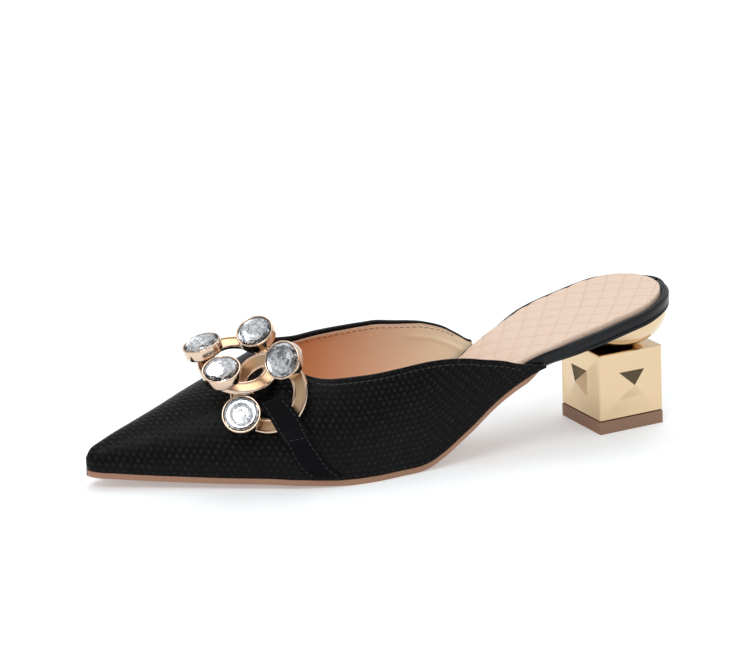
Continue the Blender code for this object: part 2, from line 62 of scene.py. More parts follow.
import bmesh
import bpy
from mathutils import Matrix, Vector

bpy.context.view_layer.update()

MM = 0.001
GAP = 0.3

# Main sizes of the last and the shoe
SHOE_LENGTH = 253.8
SEAT_OVERHANG = 22.4
BALL_WIDTH = 73.0
SEAT_RISE = 52.0
INSTEP_HEIGHT = 51.5
TOE_SPRING = 5.2
HEEL_TURN = 10.2
TOE_ROUND = 7.0
SEAT_ROUND = 28.0

# Walls and thicknesses
UPPER_WALL = 1.8
OUTSOLE_THICK = 2.6
BOARD_THICK = 3.9
BOARD_RIM_WIDTH = 3.4
BOARD_RIM_HEIGHT = 1.7
PAD_THICK = 2.0

# Mouth of the shoe
THROAT_AT = 0.292
THROAT_DEPTH = 24.0
COLLAR_HEIGHT = 46.0
OUTER_QUARTER_END = 0.724
INNER_QUARTER_END = 0.682

# Ends of the flat pieces along the length
OUTSOLE_END = 0.795
OUTSOLE_BARE_FROM = 0.689
OUTSOLE_BARE_LENGTH = 0.05
OUTSOLE_TUCK = 4.5
OUTSOLE_THIN = 1.4
BOARD_START = 0.045
BOARD_FLARE_LENGTH = 0.06
PAD_START = 0.06
PAD_END = 1 - BOARD_RIM_WIDTH / SHOE_LENGTH

# Roundings of the lower edges of sole and board
OUTSOLE_EASE = 0.7
BOARD_EASE = 1.2

# The inside stays back from the toe tip by TIP_WALLS more walls, fading out over TIP_BLEND of the length
TIP_WALLS = 2.0
TIP_BLEND = 0.08

# Heel: a cube with a raised pyramid on each side, on a brown top piece, under a bowl
HEEL_SIDE = 32.0
HEEL_WIDTH = 30.0
HEEL_CUBE_HEIGHT = 30.0
TOP_PIECE_HEIGHT = 5.6
HEEL_LEAN = 2.2
STUD_BORDER = 2.8
STUD_HEIGHT = 2.8
BOWL_MIDDLE = 3.0
BOWL_LENGTH = 49.0
BOWL_WIDTH = 50.0
BOWL_FOOT = 0.32

# Ornament: two linked rings with a groove round their face, and crystals in bezels on them
RING_OUTER = 32.8
RING_INNER = 20.8
RING_THICK = 2.2
RING_RIM = 1.3
RING_GROOVE = 0.5
BEZEL_WIDTH = 15.8
BEZEL_HEIGHT = 5.0
BEZEL_WALL = 0.8
BEZEL_FLOOR = 1.2
CRYSTAL_POINT = 2.0
STEM_WIDTH = 4.4
CRYSTAL_SIDES = 16

# Strap from the sole over the outer ring
STRAP_THICK = 1.2
STRAP_CLEAR = 0.55

# Plan of the sole, a row for each section: where it lies along the length from the toe tip, the middle's
# offset and the half width as shares of the ball width, and the section's turn as a share of HEEL_TURN
PLAN = (
    # along, middle, half, turn
    (0.000, 0.000, 0.068, 0.0),
    (0.028, 0.012, 0.096, 0.0),
    (0.064, 0.022, 0.149, 0.0),
    (0.123, 0.034, 0.233, 0.0),
    (0.201, 0.041, 0.349, 0.0),
    (0.260, 0.041, 0.425, 0.0),
    (0.319, 0.027, 0.486, 0.0),
    (0.378, 0.007, 0.500, 0.0),
    (0.436, -0.027, 0.466, 0.0),
    (0.495, -0.066, 0.390, 0.1),
    (0.554, -0.112, 0.315, 0.3),
    (0.613, -0.144, 0.281, 0.6),
    (0.672, -0.141, 0.285, 0.9),
    (0.714, -0.122, 0.303, 1.0),
    (0.753, -0.097, 0.336, 1.0),
    (0.830, -0.049, 0.371, 1.0),
    (0.907, 0.000, 0.370, 1.0),
    (1.000, 0.058, 0.370, 1.0),
)

# Height of the underside of the sole, as shares of the toe spring and of the rise of the seat
PROFILE = (
    # along, spring, rise
    (0.000, 1.00, 0.000),
    (0.034, 0.88, 0.000),
    (0.123, 0.60, 0.000),
    (0.201, 0.48, 0.000),
    (0.260, 0.42, 0.000),
    (0.319, 0.29, 0.000),
    (0.364, 0.12, 0.000),
    (0.400, 0.02, 0.000),
    (0.425, 0.00, 0.000),
    (0.510, 0.00, 0.000),
    (0.533, 0.00, 0.022),
    (0.558, 0.00, 0.092),
    (0.584, 0.00, 0.200),
    (0.609, 0.00, 0.310),
    (0.633, 0.00, 0.430),
    (0.657, 0.00, 0.532),
    (0.682, 0.00, 0.616),
    (0.707, 0.00, 0.680),
    (0.753, 0.00, 0.762),
    (0.791, 0.00, 0.823),
    (0.830, 0.00, 0.871),
    (0.869, 0.00, 0.916),
    (0.907, 0.00, 0.959),
    (0.938, 0.00, 0.998),
    (1.000, 0.00, 1.052),
)

# Crest of the last, as a share of the instep height, its shift to the inner side as a share of the
# half width, and the fullness of the section (2 is an ellipse, more is squarer)
CREST = (
    # along, height, shift, fullness
    (0.000, 0.250, 0.00, 2.0),
    (0.009, 0.318, 0.00, 2.0),
    (0.025, 0.358, 0.00, 2.0),
    (0.050, 0.415, 0.00, 2.0),
    (0.076, 0.465, 0.02, 2.0),
    (0.127, 0.566, 0.05, 2.0),
    (0.178, 0.676, 0.07, 2.0),
    (0.240, 0.800, 0.08, 2.05),
    (0.292, 0.910, 0.08, 2.1),
    (0.360, 1.080, 0.08, 2.2),
    (0.437, 1.200, 0.08, 2.3),
    (0.515, 1.290, 0.06, 2.3),
    (0.593, 1.350, 0.05, 2.3),
    (0.670, 1.390, 0.03, 2.3),
    (0.750, 1.400, 0.00, 2.3),
)

# Height of the top line above the floor on each side, as shares of the collar height
COLLAR = (
    # along, outer, inner
    (0.292, 0.900, 0.980),
    (0.345, 0.905, 0.975),
    (0.378, 0.922, 0.985),
    (0.417, 0.934, 1.030),
    (0.456, 0.944, 1.075),
    (0.487, 0.957, 1.115),
    (0.515, 0.972, 1.142),
    (0.543, 0.986, 1.142),
    (0.573, 0.993, 1.135),
    (0.600, 0.985, 1.105),
    (0.622, 0.965, 1.060),
    (0.655, 0.934, 0.955),
    (0.682, 0.888, 0.870),
    (0.724, 0.846, 0.846),
)

# Rings of the ornament, outer one first. Each stands over a place of the last, given along the length and
# by its angle from the outer feather edge in degrees, lifted by a share of RING_OUTER. Its axis leans
# from the last's own direction towards the heel and up the side by the two slopes
RINGS = (
    # along, angle, lift, lean_back, lean_up
    (0.2904, 46.7, 0.183, -0.174, -0.277),
    (0.2582, 67.7, 0.284, 0.447, -0.046),
)

# Crystals, a row for each: the number of its ring, the way round the ring in degrees from the side nearest
# to the heel, the distance from the ring's middle as a share of its radius, the length of its stem as a
# share of the bezel's height, and the two slopes by which its axis leans from the ring's
CRYSTALS = (
    # ring, around, reach, stem, lean_first, lean_second
    (1, 155.6, 0.851, 0.46, -0.360, 0.432),
    (1, 39.0, 0.855, 0.71, -0.518, 0.012),
    (0, 35.2, 0.919, 0.39, -0.142, 0.162),
    (1, -135.5, 0.844, 0.51, -0.276, 0.093),
    (0, -153.0, 0.847, 0.43, 0.266, 0.203),
)

# Edges of the strap along the length, at angles up the side in degrees
STRAP = (
    # angle, front, back
    (1.1, 0.333, 0.384),
    (4.1, 0.318, 0.366),
    (10.5, 0.306, 0.351),
    (18.2, 0.299, 0.336),
    (29.0, 0.289, 0.325),
    (37.4, 0.279, 0.315),
    (43.0, 0.273, 0.307),
)


def read_table(table, column):
    """A smooth curve through one column of a table, which never overshoots its rows."""
    places = [row[0] for row in table]
    values = [row[column] for row in table]
    steps = [
        (b - a) / (q - p)
        for p, q, a, b in zip(places, places[1:], values, values[1:])
    ]
    slopes = [steps[0]]
    for before, after in zip(steps, steps[1:]):
        same_way = before * after > 0
        slopes.append(2 * before * after / (before + after) if same_way else 0.0)
    slopes.append(steps[-1])

    def curve(place):
        place = min(max(place, places[0]), places[-1])
        k = max(i for i in range(len(places) - 1) if places[i] <= place)
        span = places[k + 1] - places[k]
        s = (place - places[k]) / span
        return (
            values[k] * (1 + 2 * s) * (1 - s) ** 2
            + values[k + 1] * s * s * (3 - 2 * s)
            + span * (slopes[k] * s * (1 - s) ** 2 - slopes[k + 1] * s * s * (1 - s))
        )

    return curve


plan_middle, plan_half, plan_turn = (read_table(PLAN, column) for column in (1, 2, 3))
spring_curve, rise_curve = (read_table(PROFILE, column) for column in (1, 2))
crest_height, crest_shift, crest_fullness = (read_table(CREST, column) for column in (1, 2, 3))
outer_collar, inner_collar = (read_table(COLLAR, column) for column in (1, 2))
strap_front, strap_back = (read_table(STRAP, column) for column in (1, 2))


def across(along):
    """Unit vector of a section from the inner to the outer side."""
    turn = math.radians(HEEL_TURN * plan_turn(along))
    return Vector((math.sin(turn), -math.cos(turn), 0.0))


def middle(along):
    """Middle of a section, on the floor."""
    x = SEAT_OVERHANG - SHOE_LENGTH * (1 - along)
    return Vector((x, BALL_WIDTH * plan_middle(along), 0.0))


def rounding(distance, radius):
    """Share of the width left where an end of the outline is rounded off."""
    if distance >= radius:
        return 1.0
    return math.sqrt(max(1 - ((radius - distance) / radius) ** 2, 0.0004))


def half_width(along):
    """Half the width of the sole at a section."""
    toe = rounding(along * SHOE_LENGTH, TOE_ROUND)
    seat = rounding((1 - along) * SHOE_LENGTH, SEAT_ROUND)
    return BALL_WIDTH * plan_half(along) * toe * seat


def feather(along):
    """Height of the top of the outsole, on which upper and board rest."""
    lift = SEAT_RISE - OUTSOLE_THICK
    return OUTSOLE_THICK + TOE_SPRING * spring_curve(along) + lift * rise_curve(along)


def ease_in(along, start, length):
    """Rises smoothly from 0 to 1 over a length that begins at start."""
    share = min(max((along - start) / length, 0.0), 1.0)
    return share * share * (3 - 2 * share)


def spaced(start, end, count):
    """Places from start to end, closer together near both."""
    places = []
    for k in range(count + 1):
        even = k / count
        eased = (1 - math.cos(math.pi * even)) / 2
        places.append(start + (end - start) * (0.3 * even + 0.7 * eased))
    return places


def last_point(along, angle, wall):
    """A point of the last: angle 0 is the outer feather edge, 90 degrees the crest, 180 the inner edge."""
    side = across(along)
    half = half_width(along) - wall
    base = feather(along) + GAP
    height = INSTEP_HEIGHT * crest_height(along) - base - wall
    power = 2 / crest_fullness(along)
    out = math.copysign(abs(math.cos(angle)) ** power, math.cos(angle))
    up = abs(math.sin(angle)) ** power
    shift = crest_shift(along) * half * up ** 2
    point = middle(along) + side * (half * out - shift)
    return point + Vector((0, 0, base + height * up))


def collar_angle(along, curve, rise):
    """Angle at which a side of the last reaches its top line, raised by rise."""
    base = feather(along) + GAP
    height = INSTEP_HEIGHT * crest_height(along) - base
    share = (COLLAR_HEIGHT * curve(along) + rise - base) / height
    share = min(max(share, 0.03), 1.0)
    return math.asin(share ** (crest_fullness(along) / 2))


def mouth_open(along):
    """How far the mouth has opened behind the throat, from 0 to 1, as a quarter ellipse."""
    share = min((along - THROAT_AT) * SHOE_LENGTH / THROAT_DEPTH, 1.0)
    return math.sqrt(max(share * (2 - share), 0.0))


def board_half(along):
    """Half width of the board: inside the upper in front, and flush with it behind the quarters."""
    bare = ease_in(along, OUTER_QUARTER_END, BOARD_FLARE_LENGTH)
    return half_width(along) - (UPPER_WALL + 2 * GAP) * (1 - bare)


def well_half(along):
    """Half width of the well in the board, which the raised rim leaves for the pad."""
    seat = rounding((PAD_END - along) * SHOE_LENGTH, SEAT_ROUND - BOARD_RIM_WIDTH)
    toe = rounding(along * SHOE_LENGTH, TOE_ROUND)
    return (BALL_WIDTH * plan_half(along) * toe - BOARD_RIM_WIDTH) * seat


def heel_point(forward, outward, height):
    """A place by its way forward and outward from the heel's own middle, which leans a little."""
    turn = math.radians(HEEL_TURN)
    ahead = Vector((-math.cos(turn), -math.sin(turn), 0.0))
    side = Vector((math.sin(turn), -math.cos(turn), 0.0))
    lean = math.tan(math.radians(HEEL_LEAN)) * height
    return ahead * (forward + lean) + side * outward + Vector((0, 0, height))


def station_of(forward):
    """The station at a way forward of the heel's middle."""
    x = -forward * math.cos(math.radians(HEEL_TURN))
    return 1 + (x - SEAT_OVERHANG) / SHOE_LENGTH


def last_frame(along, angle):
    """A place on the last, with the directions out of it, towards the heel and up the side."""
    step = 0.002
    back = last_point(along + step, angle, 0.0) - last_point(along - step, angle, 0.0)
    back.normalize()
    up = last_point(along, angle + step, 0.0) - last_point(along, angle - step, 0.0)
    out = back.cross(up).normalized()
    return last_point(along, angle, 0.0), out, back, out.cross(back)


def ring_frame(number):
    """Middle of a ring, its axis and the two directions of its plane."""
    along, degrees, lift, lean_back, lean_up = RINGS[number]
    place, out, back, up = last_frame(along, math.radians(degrees))
    axis = (out + back * lean_back + up * lean_up).normalized()
    first = (back - axis * back.dot(axis)).normalized()
    return place + out * lift * RING_OUTER, axis, first, axis.cross(first)


def circle(frame, radius, height, sides):
    """A ring of points round a frame's axis."""
    centre, axis, first, second = frame
    turns = [2 * math.pi * i / sides for i in range(sides)]
    return [
        centre + axis * height + (first * math.cos(t) + second * math.sin(t)) * radius
        for t in turns
    ]


def crystal_frames(ring, around, reach, stem, lean_first, lean_second):
    """The frame of a stem's foot on the face of its ring, and the leaning frame of its bezel."""
    centre, axis, first, second = ring_frame(ring)
    turn = math.radians(around)
    way = first * math.cos(turn) + second * math.sin(turn)
    foot = centre + axis * (RING_THICK / 2 + GAP) + way * reach * RING_OUTER / 2
    tilted = (axis + first * lean_first + second * lean_second).normalized()
    across_it = (first - tilted * first.dot(tilted)).normalized()
    seat = foot + axis * stem * BEZEL_HEIGHT
    return (foot, axis, first, second), (seat, tilted, across_it, tilted.cross(across_it))


def lift_over_ring(place, out):
    """Height over a place of the last at which the strap clears the outer ring."""
    centre, axis, _, _ = ring_frame(0)
    for step in range(MOST_LIFTS, 0, -1):
        lift = step * LIFT_STEP
        way = place + out * lift - centre
        high = way.dot(axis)
        spread = (way - axis * high).length
        beside = max(RING_INNER / 2 - spread, spread - RING_OUTER / 2)
        if max(beside, abs(high) - RING_THICK / 2) < STRAP_CLEAR:
            return lift + LIFT_STEP
    return GAP


# Leather and lining of the upper. The lining stands a little above the leather, except at the tails, and
# stays below it round the inner side of the throat, where the leather is folded over as a facing
LEATHER = 1.0
LINING = 0.7
LINING_PLAY = 0.05
LINING_RISE = 0.5
TAIL_DROP = 0.7
FACING_DEPTH = 3.0
FACING_END = 0.58

# Crease in the lining of the inner quarter: points given as shares of its rows and of its columns
CREASE = ((0.82, 0.17), (0.88, 0.19), (0.935, 0.31), (0.975, 0.50))
CREASE_WIDTH = 0.9
CREASE_HEIGHT = 0.45
CREASE_WAY = (0, -1, 0.25)

# Dots of the grain, in rows that stand closer together than the dots in them
DOT_PITCH = 2.7
ROW_SHARE = 0.866

# Rim of the board, from its outside to the well: share of its width, way below its top
RIM_SINK = 0.3
RIM_SHAPE = (
    (0.08, 0.81), (0.24, 0.045), (0.38, -0.05), (0.50, 0.35), (0.62, 0.15), (0.82, 0.20), (0.96, 0.90),
)

# Quilting of the pad. Its seams cross the pad's length by QUILT_SLANT and bow over its width
QUILT_PITCH = 10.2
QUILT_SLANT = 0.92
QUILT_BOW = 260.0
QUILT_PUFF = 0.5
SEAM_SHARE = 0.045
PAD_LOFT = 0.3
PAD_ROUND = 1.3
PAD_SKIRT = 0.3

# Heel: chamfers of the cube and of the top piece. A stud rises to STUD_STEP_RISE of its height over the
# outer part of its width, up to STUD_STEP
CUBE_EDGE = 0.4
TOP_PIECE_EDGE = 0.5
STUD_STEP = 0.5
STUD_STEP_RISE = 0.2

# Cups and stones. The foot of a cup is given by the way in from its wall and by height; the facets of a
# stone and of the foil behind it by share of the radius, share of the height or depth, and turn in steps
RING_EASE = 0.4
CUP_FOOT = ((0.9, 0.0), (0.25, 0.25), (0.0, 0.9))
CUP_HOLE = 1.0
STONE_PLAY = 0.12
GIRDLE = (0.9, 0.35)
FOIL_DEPTH = 1.1
CROWN = ((0.86, 0.36, 0.5), (0.66, 0.46, 0.0), (0.44, 0.72, 0.5), (0.24, 0.82, 0.0), (0.06, 1.0, 0.5))
PAVILION = (
    (1.0, 0.0, 0.0), (0.86, 0.34, 0.5), (0.68, 0.36, 0.0),
    (0.50, 0.74, 0.5), (0.30, 0.66, 0.0), (0.06, 0.92, 0.5),
)
# Painted reflections of the facets of stones and foils: light and dark levels that stand in for what each
# facet mirrors
PAINTED_REFLECTIONS = (1.0, 0.22, 0.85, 0.5, 1.0, 0.08, 0.7)

# Strap: where it folds into the ring's hole, in degrees up the side, and the radius of the fold
STRAP_END = 39.0
STRAP_FOLD = 2.0
FOLD_TURN = 16.0
FOLD_STEPS = 8
LIFT_STEP = 0.2
MOST_LIFTS = 60

# Stitches: length, pitch and radius. The lines lie below the top line and the facing's edge by the drops
TOPLINE_STITCH = (1.7, 2.6, 0.17)
FACING_STITCH = (1.7, 2.6, 0.136)
STRAP_STITCH = (1.5, 2.4, 0.13)
CROSS_STITCH = (1.5, 2.2, 0.15)
CROSS_STITCH_ANGLE = 20.0
TOPLINE_STITCH_DROP = 2.3
FACING_STITCH_DROP = 1.1
THREAD_OUT = 0.02

# How finely the shown surfaces are divided
SIDE_COLUMNS = 36
ARCH_ROWS = [THROAT_AT * (k / 80) ** 1.25 for k in range(81)]
QUARTER_ROWS = 110
OUTSOLE_ROWS = 170
BOARD_ROWS = 220
PAD_ROWS = 330
PAD_HALF_COLUMNS = 45
WALL_STEPS = 24
BOWL_RINGS = 32
BOWL_SIDES = 96
RING_SIDES = 128
CUP_SIDES = 72
STRAP_STEPS = 60
STRAP_COLUMNS = 16
STRAP_AHEAD = 6

# Studio, seen from the shoe: a dark band low in front and a dark patch behind the toe, with bright cards
# in the band; bearings in degrees, and each edge from where a light begins or ends to where it is full
WORLD_BRIGHT = 0.78
WORLD_DARK = 0.13
BAND_TOP = (0.30, 0.55)
BAND_BACK = (-0.35, 0.15)
DARK_BEARING = 138.0
DARK_SPREAD = (12.0, 26.0)
CARD_BEARINGS = (-150.0, -85.0, -20.0)
CARD_SPREAD = (4.0, 9.0)
FLOOR_GLOW = 0.30
AIM = (-0.1, 0.0, 0.03)
LIGHTS = (
    # name, place, size, power
    ("key", (-0.9, -0.9, 1.6), 0.9, 10.0),
    ("top", (0.1, 0.5, 1.6), 1.2, 8.0),
)

# Camera, solved from the cube's and the footbed's edges: angles in degrees, the rest in millimetres
CAMERA_AZIMUTH = -17.874
CAMERA_RISE = 17.528
CAMERA_ROLL = -1.0
CAMERA_DISTANCE = 1042.18
CAMERA_ASIDE = 102.347
CAMERA_ABOVE = -43.493
CAMERA_LENS = 115.2


# Materials

def maths(tree, operation, first, second=0.0, third=0.0):
    """A maths node; each value is a number or a socket."""
    node = tree.nodes.new("ShaderNodeMath")
    node.operation = operation
    for socket, value in zip(node.inputs, (first, second, third)):
        if isinstance(value, bpy.types.NodeSocket):
            tree.links.new(value, socket)
        else:
            socket.default_value = value
    return node.outputs[0]


def new_material(name, colour, roughness, metallic=0.0, coat=0.0):
    material = bpy.data.materials.new(name)
    material.use_nodes = True
    shader = material.node_tree.nodes["Principled BSDF"]
    shader.inputs["Base Color"].default_value = (*colour, 1.0)
    shader.inputs["Roughness"].default_value = roughness
    shader.inputs["Metallic"].default_value = metallic
    shader.inputs["Coat Weight"].default_value = coat
    shader.inputs["Coat Roughness"].default_value = 0.12
    return material, material.node_tree, shader


def noise_node(tree, scale, detail=3.0):
    """Fine noise in object coordinates, scale in waves for each millimetre."""
    place = tree.nodes.new("ShaderNodeTexCoord")
    noise = tree.nodes.new("ShaderNodeTexNoise")
    noise.inputs["Scale"].default_value = scale / MM
    noise.inputs["Detail"].default_value = detail
    tree.links.new(place.outputs["Object"], noise.inputs["Vector"])
    return noise.outputs["Fac"]


def add_bump(tree, shader, height, depth, strength=1.0):
    bump = tree.nodes.new("ShaderNodeBump")
    bump.inputs["Strength"].default_value = strength
    bump.inputs["Distance"].default_value = depth * MM
    tree.links.new(height, bump.inputs["Height"])
    tree.links.new(bump.outputs["Normal"], shader.inputs["Normal"])


def smooth_step(tree, value, low, high):
    """0 below low, 1 above high."""
    step = tree.nodes.new("ShaderNodeMapRange")
    step.interpolation_type = "SMOOTHSTEP"
    step.inputs["From Min"].default_value = low
    step.inputs["From Max"].default_value = high
    tree.links.new(value, step.inputs["Value"])
    return step.outputs["Result"]


def vary_roughness(tree, shader, noise, low, high):
    span = tree.nodes.new("ShaderNodeMapRange")
    span.inputs["To Min"].default_value = low
    span.inputs["To Max"].default_value = high
    tree.links.new(noise, span.inputs["Value"])
    tree.links.new(span.outputs["Result"], shader.inputs["Roughness"])


def add_grain(tree, shader, scale, depth, low, high, detail=3.0, strength=1.0):
    """Fine noise in the surface's height and in its roughness, which lies between low and high."""
    grain = noise_node(tree, scale, detail)
    add_bump(tree, shader, grain, depth, strength)
    vary_roughness(tree, shader, grain, low, high)


def blend_colours(tree, shader, share, first, second):
    """Colours the surface between two colours by a share."""
    mix = tree.nodes.new("ShaderNodeMix")
    mix.data_type = "RGBA"
    mix.inputs[6].default_value = (*first, 1.0)
    mix.inputs[7].default_value = (*second, 1.0)
    tree.links.new(share, mix.inputs[0])
    tree.links.new(mix.outputs[2], shader.inputs["Base Color"])


def stored_value(tree, name):
    """A value that the mesh stores."""
    node = tree.nodes.new("ShaderNodeAttribute")
    node.attribute_name = name
    return node.outputs["Fac"]


def split_axes(tree, socket):
    split = tree.nodes.new("ShaderNodeSeparateXYZ")
    tree.links.new(socket, split.inputs[0])
    return split.outputs


def plain_material(name, colour, roughness, scale, depth, metallic=0.0, coat=0.0, spread=0.15, gloss=0.5):
    """A surface with a fine grain and a roughness that varies a little."""
    material, tree, shader = new_material(name, colour, roughness, metallic, coat)
    shader.inputs["Specular IOR Level"].default_value = gloss
    add_grain(tree, shader, scale, depth, roughness * (1 - spread), roughness * (1 + spread))
    return material


def dotted_leather():
    """Black leather with small raised dots in staggered rows, laid out by the UV map in millimetres. The dot
    tops are painted lighter in random patches, a painted highlight where they catch the light.
    """
    material, tree, shader = new_material("upper_black", (0.004, 0.004, 0.0045), 0.42, coat=0.01)
    shader.inputs["Specular IOR Level"].default_value = 0.11
    lay = tree.nodes.new("ShaderNodeUVMap")
    lay.uv_map = "lay"
    axes = split_axes(tree, lay.outputs["UV"])
    row_place = maths(tree, "DIVIDE", axes["Y"], DOT_PITCH * ROW_SHARE)
    row = maths(tree, "FLOOR", row_place)
    stagger = maths(tree, "MULTIPLY", maths(tree, "PINGPONG", row, 1.0), 0.5)
    column_place = maths(tree, "ADD", maths(tree, "DIVIDE", axes["X"], DOT_PITCH), stagger)
    aside = maths(tree, "SUBTRACT", maths(tree, "FRACT", column_place), 0.5)
    above = maths(tree, "MULTIPLY", maths(tree, "SUBTRACT", maths(tree, "FRACT", row_place), 0.5), ROW_SHARE)
    far = maths(tree, "MULTIPLY_ADD", aside, aside, maths(tree, "MULTIPLY", above, above))
    dome = smooth_step(tree, maths(tree, "SQRT", far), 0.38, 0.04)
    # Painted highlight: the dot tops are coloured lighter, in random patches, where they would catch the
    # light
    highlight_patches = smooth_step(tree, noise_node(tree, 0.35), 0.30, 0.72)
    painted_dot_highlight = maths(tree, "MULTIPLY", dome, highlight_patches)
    blend_colours(tree, shader, painted_dot_highlight, (0.002, 0.002, 0.002), (0.017, 0.017, 0.016))
    grain = noise_node(tree, 2.2, 4.0)
    add_bump(tree, shader, maths(tree, "MULTIPLY_ADD", grain, 0.3, dome), 0.26)
    vary_roughness(tree, shader, grain, 0.32, 0.46)
    return material


def quilt_leather():
    """Nude leather that darkens along the seams of the quilting, which the mesh stores: partly the
    stitching's colour, partly painted shade in the seams' valleys.
    """
    material, tree, shader = new_material("pad_nude", (0.72, 0.50, 0.385), 0.5, coat=0.05)
    # Darker along the seams: stitching colour and painted shade in their valleys
    seam_shade = maths(tree, "MULTIPLY", stored_value(tree, "seam_shade"), 0.75)
    blend_colours(tree, shader, seam_shade, (0.73, 0.556, 0.44), (0.55, 0.35, 0.25))
    add_grain(tree, shader, 3.0, 0.05, 0.42, 0.58, detail=4.0)
    return material


def tan_lining():
    """Tan lining, painted a deep dark orange in front as painted shade under the vamp, and a light cream
    towards the heel as painted light where it lies open.
    """
    material, tree, shader = new_material("lining_tan", (0.60, 0.31, 0.165), 0.5)
    place = tree.nodes.new("ShaderNodeTexCoord")
    forward = split_axes(tree, place.outputs["Object"])["X"]
    # Painted shade under the vamp, fading along the shoe to painted light towards the open heel
    share = smooth_step(tree, forward, middle(THROAT_AT).x * MM, middle(INNER_QUARTER_END).x * MM)
    blend_colours(tree, shader, share, (0.80, 0.265, 0.055), (1.0, 0.90, 0.70))
    add_grain(tree, shader, 1.6, 0.06, 0.42, 0.58, detail=4.0)
    return material


def suede():
    """Black suede with a short nap."""
    material, tree, shader = new_material("suede_black", (0.005, 0.005, 0.006), 0.85)
    shader.inputs["Specular IOR Level"].default_value = 0.06
    shader.inputs["Sheen Weight"].default_value = 0.015
    shader.inputs["Sheen Roughness"].default_value = 0.5
    add_grain(tree, shader, 4.0, 0.12, 0.75, 0.95, detail=5.0)
    return material


def glass():
    """Clear crystal; its facets are painted clearer or greyer by a level that the mesh stores, a painted
    reflection of what they mirror.
    """
    material, tree, shader = new_material("clear_glass", (0.97, 0.98, 1.0), 0.02)
    # Painted reflection: facets greyer or clearer by the stored level
    blend_colours(tree, shader, stored_value(tree, "painted_reflection"), (0.36, 0.38, 0.41), (1.0, 1.0, 1.0))
    shader.inputs["Transmission Weight"].default_value = 1.0
    shader.inputs["IOR"].default_value = 1.5
    add_grain(tree, shader, 0.6, 0.01, 0.01, 0.04, detail=2.0, strength=0.3)
    return material


def silver_foil():
    """Mirror foil behind a stone; its facets are painted light or dark by a level that the mesh stores, a
    painted reflection of what they mirror.
    """
    material, tree, shader = new_material("silver_foil", (0.8, 0.82, 0.86), 0.08, metallic=1.0)
    # Painted reflection: facets dark or light by the stored level
    blend_colours(tree, shader, stored_value(tree, "painted_reflection"), (0.03, 0.033, 0.04), (0.78, 0.80, 0.83))
    add_grain(tree, shader, 0.3, 0.01, 0.06, 0.14)
    return material


def gold(name, colour, roughness, scale, depth=0.01, spread=0.3):
    return plain_material(name, colour, roughness, scale, depth, metallic=1.0, spread=spread)


MATERIALS = {
    "upper": dotted_leather(),
    "lining": tan_lining(),
    "lining_edge": plain_material("edge_pale", (0.62, 0.42, 0.30), 0.55, 1.6, 0.05),
    "pad": quilt_leather(),
    "board": plain_material("board_black", (0.005, 0.006, 0.008), 0.36, 1.8, 0.04, coat=0.02, gloss=0.28),
    "outsole": plain_material("sole_nude", (0.37, 0.19, 0.115), 0.5, 1.2, 0.06),
    "tip": plain_material("tip_brown", (0.30, 0.165, 0.10), 0.55, 1.4, 0.08),
    "heel_gold": gold("pale_gold", (0.735, 0.55, 0.35), 0.15, 0.25),
    "ring_gold": gold("rose_gold", (0.75, 0.565, 0.435), 0.11, 0.3),
    # Gold of the sunk channel: painted darker than the rims as painted shade in the groove; its higher
    # roughness is its brushed finish
    "shaded_channel_gold": gold("shaded_channel_gold", (0.60, 0.41, 0.25), 0.32, 0.8, depth=0.04, spread=0.15),
    "foil": silver_foil(),
    "strap": suede(),
    "thread": plain_material("thread_black", (0.03, 0.03, 0.032), 0.6, 6.0, 0.05),
    "glass": glass(),
}


# Meshes

def add_grid(shaper, rows, lay=None, paint=0):
    """Adds a grid and moves it onto rows of points in millimetres. lay gives each point its UV."""
    size = len(rows[0])
    made = bmesh.ops.create_grid(shaper, x_segments=size - 1, y_segments=len(rows) - 1, size=1.0)
    verts = made["verts"]
    flat = [point for row in rows for point in row]
    for vert, point in zip(verts, flat):
        vert.co = Vector(point) * MM
    place = {vert: k for k, vert in enumerate(verts)}
    layer = shaper.loops.layers.uv.get("lay") or shaper.loops.layers.uv.new("lay")
    faces = {face for vert in verts for face in vert.link_faces}
    for face in faces:
        face.material_index = paint
        if lay:
            for loop in face.loops:
                k = place[loop.vert]
                loop[layer].uv = lay[k // size][k % size]
    return verts


def finish_piece(shaper, name, paints, nodes=(), sharp=40.0):
    """Turns the shaper into a piece that rides on the shoe and stands for the given CAD nodes."""
    bmesh.ops.remove_doubles(shaper, verts=shaper.verts, dist=2e-6)
    bmesh.ops.recalc_face_normals(shaper, faces=shaper.faces)
    mesh = bpy.data.meshes.new(name)
    shaper.to_mesh(mesh)
    shaper.free()
    mesh.shade_smooth()
    mesh.set_sharp_from_angle(angle=math.radians(sharp))
    obj = bpy.data.objects.new(name, mesh)
    bpy.context.scene.collection.objects.link(obj)
    for paint in paints:
        mesh.materials.append(MATERIALS[paint])
    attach(obj, "root")
    if nodes:
        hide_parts(*nodes)
    return obj


def ring_rows(rings):
    """Closed rings as the rows of a grid, with the first point of each repeated at its end."""
    return [ring + ring[:1] for ring in rings]


def close_end(shaper, ring):
    """Fills a ring of points with one face."""
    verts = [shaper.verts.new(Vector(point) * MM) for point in ring]
    shaper.faces.new(verts)


def add_body(shaper, rings):
    """A closed body through rings of points, with its first and last ring filled."""
    add_grid(shaper, ring_rows(rings))
    close_end(shaper, rings[0])
    close_end(shaper, rings[-1])


def section_point(along, aside, height):
    """A point of a section of the shoe, by its way to the outer side and its height."""
    return middle(along) + across(along) * aside + Vector((0, 0, height))


